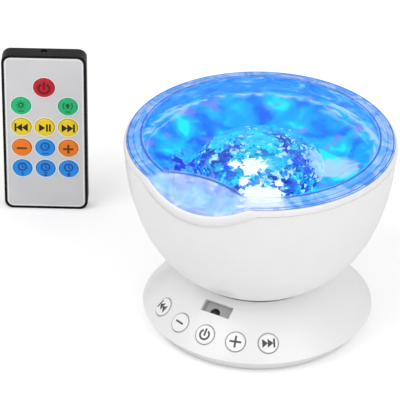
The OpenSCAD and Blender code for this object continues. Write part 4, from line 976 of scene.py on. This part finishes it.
def pebble_colour(x, y, rng):
    """Draws a pebble's colour, with painted light and shade by place: more navy and deep blue to the left
    and right, and more pale pebbles at the front. The weights are in the order of PEBBLE_COLOURS.
    """
    right, near = seen(x, y)
    if near < -8:
        weights = (5, 3, 7, 3, 1, 0)
    elif right < -9:
        weights = (3, 2, 3, 5, 8, 1)
    elif right > 11:
        weights = (3, 1, 4, 4, 5, 0)
    elif near > 19:
        weights = (4, 3, 3, 3, 3, 3)
    else:
        weights = (8, 5, 3, 2, 1, 1)
    return rng.choices(PEBBLE_COLOURS, weights)[0]


def on_dome(share, a):
    """A point of the crystal's dome: `share` of the way down from its top, at the angle `a`."""
    polar = math.acos(1 - share)
    r = CRYSTAL_R * math.sin(polar)
    return Vector((r * math.cos(a), r * math.sin(a), CRYSTAL_Z + CRYSTAL_RISE * math.cos(polar)))


def nearest_pebble(p, pebbles):
    """The number of the pebble that holds a place, and how far inside its border the place lies."""
    grain, reach = 1.9, 2.4
    curl = Vector((noise.noise(p / grain), noise.noise(p / grain + Vector((9, 4, 0))), 0))
    p = p + curl * reach
    first, second = sorted(((p - q).length, i) for i, q in enumerate(pebbles))[:2]
    return first[1], second[0] - first[0]


def facet_colour(c, pebbles, colours, rng):
    """Colour of the facet with its middle at c: its pebble's, bordered, calmed and lit by place."""
    right, near = seen(c.x, c.y)
    number, margin = nearest_pebble(c, pebbles)
    colour = colours[number]
    border, outline, glints = 0.6, 0.5, 0.03
    calm = 1 - soft_step(-16, -4, near)
    if margin < border:
        colour = mixed(colour, NAVY if sum(colour) > 0.9 else TURQUOISE, 0.7 - 0.45 * calm)
    colour = shade(colour, rng.uniform(0.75, 1.2))
    colour = mixed(colour, CALM_BLUE, 0.6 * calm)
    # Glints and the pale outlines of some pebbles are painted highlights
    outlined = margin < outline and noise.noise(c / 3) > 0.2 and near > -8
    if rng.random() < glints or outlined:
        colour = PALE
    rough = 0.55 * noise.noise(c / 1.5)
    for light, share, patches in CRYSTAL_LIGHTS:
        for patch in patches:
            distance = from_patch(right, near, patch) + rough
            colour = mixed(colour, light, share * (1 - soft_step(0.8, 1.05, distance)))
    return colour


def lift_pebbles(bm, pebbles, rng):
    """Raises the middle of each pebble and sinks its border."""
    bulge, sink, jitter, full_from = 0.75, 0.5, 0.12, 2.2
    for v in bm.verts:
        if v.co.z > CRYSTAL_Z:
            _, margin = nearest_pebble(v.co, pebbles)
            lift = bulge * min(1.0, margin / full_from) - sink + rng.uniform(-jitter, jitter)
            outward = Vector((v.co.x, v.co.y, (v.co.z - CRYSTAL_Z) * 3 + 6)).normalized()
            v.co += outward * lift


def crystal_dome():
    """A hull of scattered points. Each pebble bulges, and each small facet has its own colour."""
    rng = random.Random(7)
    golden = math.pi * (3 - math.sqrt(5))
    count, pebble_count, edge_count = 3200, 270, 120
    edge_drop = 0.4
    points = [on_dome((i + 0.5) / count, i * golden + rng.uniform(-0.15, 0.15)) for i in range(count)]
    points += [Vector((x, y, CRYSTAL_Z - edge_drop)) for x, y in around(CRYSTAL_R, edge_count)]
    pebbles = [on_dome(rng.uniform(0, 1), rng.uniform(0, 2 * math.pi)) for _ in range(pebble_count)]
    colours = [pebble_colour(p.x, p.y, rng) for p in pebbles]
    bm = bmesh.new()
    for p in points:
        bm.verts.new(p)
    bmesh.ops.convex_hull(bm, input=bm.verts)
    bmesh.ops.delete(bm, geom=[v for v in bm.verts if not v.link_faces], context="VERTS")
    lift_pebbles(bm, pebbles, rng)
    bmesh.ops.recalc_face_normals(bm, faces=bm.faces)
    mesh = bpy.data.meshes.new("crystal_cluster")
    bm.to_mesh(mesh)
    bm.free()
    facets = []
    for polygon in mesh.polygons:
        facets += [facet_colour(polygon.center, pebbles, colours, rng)] * polygon.loop_total
    paint(mesh, "facet", "FLOAT_COLOR", "CORNER", facets)
    mesh.transform(Matrix.Scale(MM, 4))
    mesh.materials.append(MATERIAL["crystal"])
    dress(new_object("crystal_cluster", mesh), "head", "crystal_dome")


# The lit dish round the crystal
def wave_height(x, y):
    """Gentle crossing ripples of the lit dish, which is flat next to the crystal and at the rim."""
    r = math.hypot(x, y)
    a = math.atan2(y, x)
    fade = clamp((r - 36) / 6) * clamp((60.5 - r) / 5)
    swirl = 0.45 * math.sin(0.42 * r + 3.1 * math.sin(3 * a + 0.6))
    across = 0.3 * math.sin(0.8 * x + 0.5 * math.sin(0.3 * y))
    along = 0.3 * math.sin(0.7 * y + 1.4 * math.sin(0.25 * x))
    return (swirl + across + along) * fade


# Patches of light on the dish: right, near, half width, half depth
PALE_PATCH = (33, 1, 13, 9)
WHITE_PATCH = (3, 36, 12, 3.4)
DARK_PATCH = (-36, 6, 10, 19)
PALE_RING_R, PALE_RING_W = 58.6, 1.15


def dish_spots(x, y):
    """Shares of pale, white and dark light on the dish."""
    right, near = seen(x, y)
    r = math.hypot(x, y)
    rough = 0.45 * blotches(x, y, 4.5, 3)
    streak = 0.35 * blotches(right / 9, near / 2, 1, 7)
    patch = 1 - soft_step(0.7, 1.15, from_patch(right, near, PALE_PATCH) + rough + streak)
    ring = bell(r - PALE_RING_R + rough * 5, PALE_RING_W) * soft_step(-0.25, 0.1, streak + rough)
    side = soft_step(15, 40, abs(right)) * soft_step(51, 57, r) * (1.0 if right > 0 else 0.7)
    side *= soft_step(0.0, 0.25, blotches(math.atan2(near, right) * 4, r / 1.8, 1, 2))
    white = 1 - soft_step(0.7, 1.1, from_patch(right, near, WHITE_PATCH) + rough)
    left = 1 - soft_step(0.6, 1.1, from_patch(right, near, DARK_PATCH))
    curl = blotches(x, y, 3.8, 11) + 0.5 * blotches(x, y, 1.6, 4)
    threads = 0.5 * left * bell(curl + 0.1, 0.05)
    return 0.9 * max(patch, ring, side, threads), white, left * soft_step(-0.02, 0.1, curl)


def dish():
    """The dish with its ripples as one closed shell. Only its upper face is painted."""
    rings, steps = 60, 300
    profile = []
    for i in range(rings + 1):
        r = DISH_IN + (DISH_OUT - DISH_IN) * i / rings
        rise = clamp((r - DISH_FLAT) / (DISH_RISE - DISH_FLAT))
        profile.append((r, DISH_LOW + (DISH_HIGH - DISH_LOW) * rise))
    verts, spots = [], []
    for r, z in profile:
        verts += [Vector((x, y, z + wave_height(x, y))) for x, y in around(r, steps)]
        spots += [dish_spots(x, y) for x, y in around(r, steps)]
    under = len(verts)
    for r, z in profile:
        verts += [Vector((x, y, z - DISH_T)) for x, y in around(r, steps)]
    spots += [(0, 0, 0)] * under
    faces = bridge_all(0, rings + 1, steps) + bridge_all(under, rings + 1, steps)
    faces += bridge(0, under, steps) + bridge(under - steps, len(verts) - steps, steps)
    piece = make_object("reflector_waves", [v * MM for v in verts], faces, MATERIAL["dish"], smooth=True)
    paint(piece.data, "spots", "FLOAT_COLOR", "POINT", spots)
    dress(piece, "head", "reflector")


# Stage, light and camera
def mix_shader(tree, share, a, b):
    node = add(tree, "ShaderNodeMixShader")
    plug(tree, share, node, 0)
    plug(tree, a, node, 1)
    plug(tree, b, node, 2)
    return node.outputs[0]


def stage_floor():
    """A white floor that takes shadows, and shines a little to the camera."""
    half, drop = 3, 0.00005
    material, tree, shader = surface("floor_white", Roughness=0.6, Specular_IOR_Level=0.2)
    cloud = noise_tex(tree, coords(tree), 3.0)
    plug(tree, ramp(tree, cloud, [(0.3, (0.92, 0.92, 0.92)), (0.7, (0.94, 0.94, 0.94))]),
         shader, "Base Color")
    glow = add(tree, "ShaderNodeEmission", Strength=FLOOR_GLOW)
    both = add(tree, "ShaderNodeAddShader")
    plug(tree, shader.outputs["BSDF"], both, 0)
    plug(tree, glow.outputs["Emission"], both, 1)
    to_camera = add(tree, "ShaderNodeLightPath").outputs["Is Camera Ray"]
    seen_floor = mix_shader(tree, to_camera, shader.outputs["BSDF"], both.outputs["Shader"])
    plug(tree, seen_floor, tree.nodes["out"], "Surface")
    corners = [(-half, -half, 0), (half, -half, 0), (half, half, 0), (-half, half, 0)]
    floor = make_object("floor", corners, [[0, 1, 2, 3]], material)
    floor.location.z = -drop


def world():
    """Soft light all round, which looks plain white to the camera, in gloss and through the cover."""
    studio = bpy.data.worlds.new("studio")
    bpy.context.scene.world = studio
    studio.use_nodes = True
    tree = studio.node_tree
    tree.nodes.clear()
    out = tree.nodes.new("ShaderNodeOutputWorld")
    white = (1, 1, 1, 1)
    lit = add(tree, "ShaderNodeBackground", Strength=WORLD_LIGHT, Color=white)
    back = add(tree, "ShaderNodeBackground", Strength=1.0, Color=white)
    rays = add(tree, "ShaderNodeLightPath").outputs
    plain = calculate(tree, "MAXIMUM", rays["Is Camera Ray"], rays["Is Transmission Ray"])
    plain = calculate(tree, "MAXIMUM", plain, rays["Is Glossy Ray"])
    plug(tree, mix_shader(tree, plain, lit.outputs[0], back.outputs[0]), out, "Surface")


def lamp(name, place, energy):
    data = bpy.data.lights.new(name, "AREA")
    data.shape = "DISK"
    data.size = LAMP_SIZE
    data.energy = energy
    thing = new_object(name, data)
    thing.location = place
    thing.rotation_euler = (Vector(LAMP_AIM) - Vector(place)).to_track_quat("-Z", "Y").to_euler()


def camera():
    """The photograph's viewpoint."""
    turn, tilt = VIEW_TURN, VIEW_TILT
    target = Vector((0, 0, AXIS_Z))
    back = Vector((math.sin(turn) * math.cos(tilt), -math.cos(turn) * math.cos(tilt), math.sin(tilt)))
    look = (-back).to_track_quat("-Z", "Y").to_matrix().to_4x4() @ Matrix.Rotation(VIEW_ROLL, 4, "Z")
    column, row = AXIS_PIXEL
    off = Vector((column - PICTURE / 2, PICTURE / 2 - row, -FOCAL_PIXELS)).normalized()
    aim = off.rotation_difference(Vector((0, 0, -1))).to_matrix().to_4x4()
    data = bpy.data.cameras.new("camera")
    data.sensor_width = SENSOR
    data.lens = FOCAL_PIXELS / PICTURE * SENSOR
    data.clip_end = 20
    cam = new_object("camera", data)
    cam.matrix_world = Matrix.Translation(target + back * VIEW_DISTANCE) @ look @ aim
    bpy.context.scene.camera = cam


dress_nodes()
button_icons()
key_icons()
key_surrounds()
face_edge()
round_case_edges()
top_cover()
rim_band()
crystal_dome()
dish()
stage_floor()
world()
lamp("key_light_lamp", (-0.5, -0.9, 1.3), 6.5)
lamp("fill_lamp", (1.1, -0.4, 0.8), 5.0)
camera()
bpy.context.scene.view_settings.view_transform = "Standard"
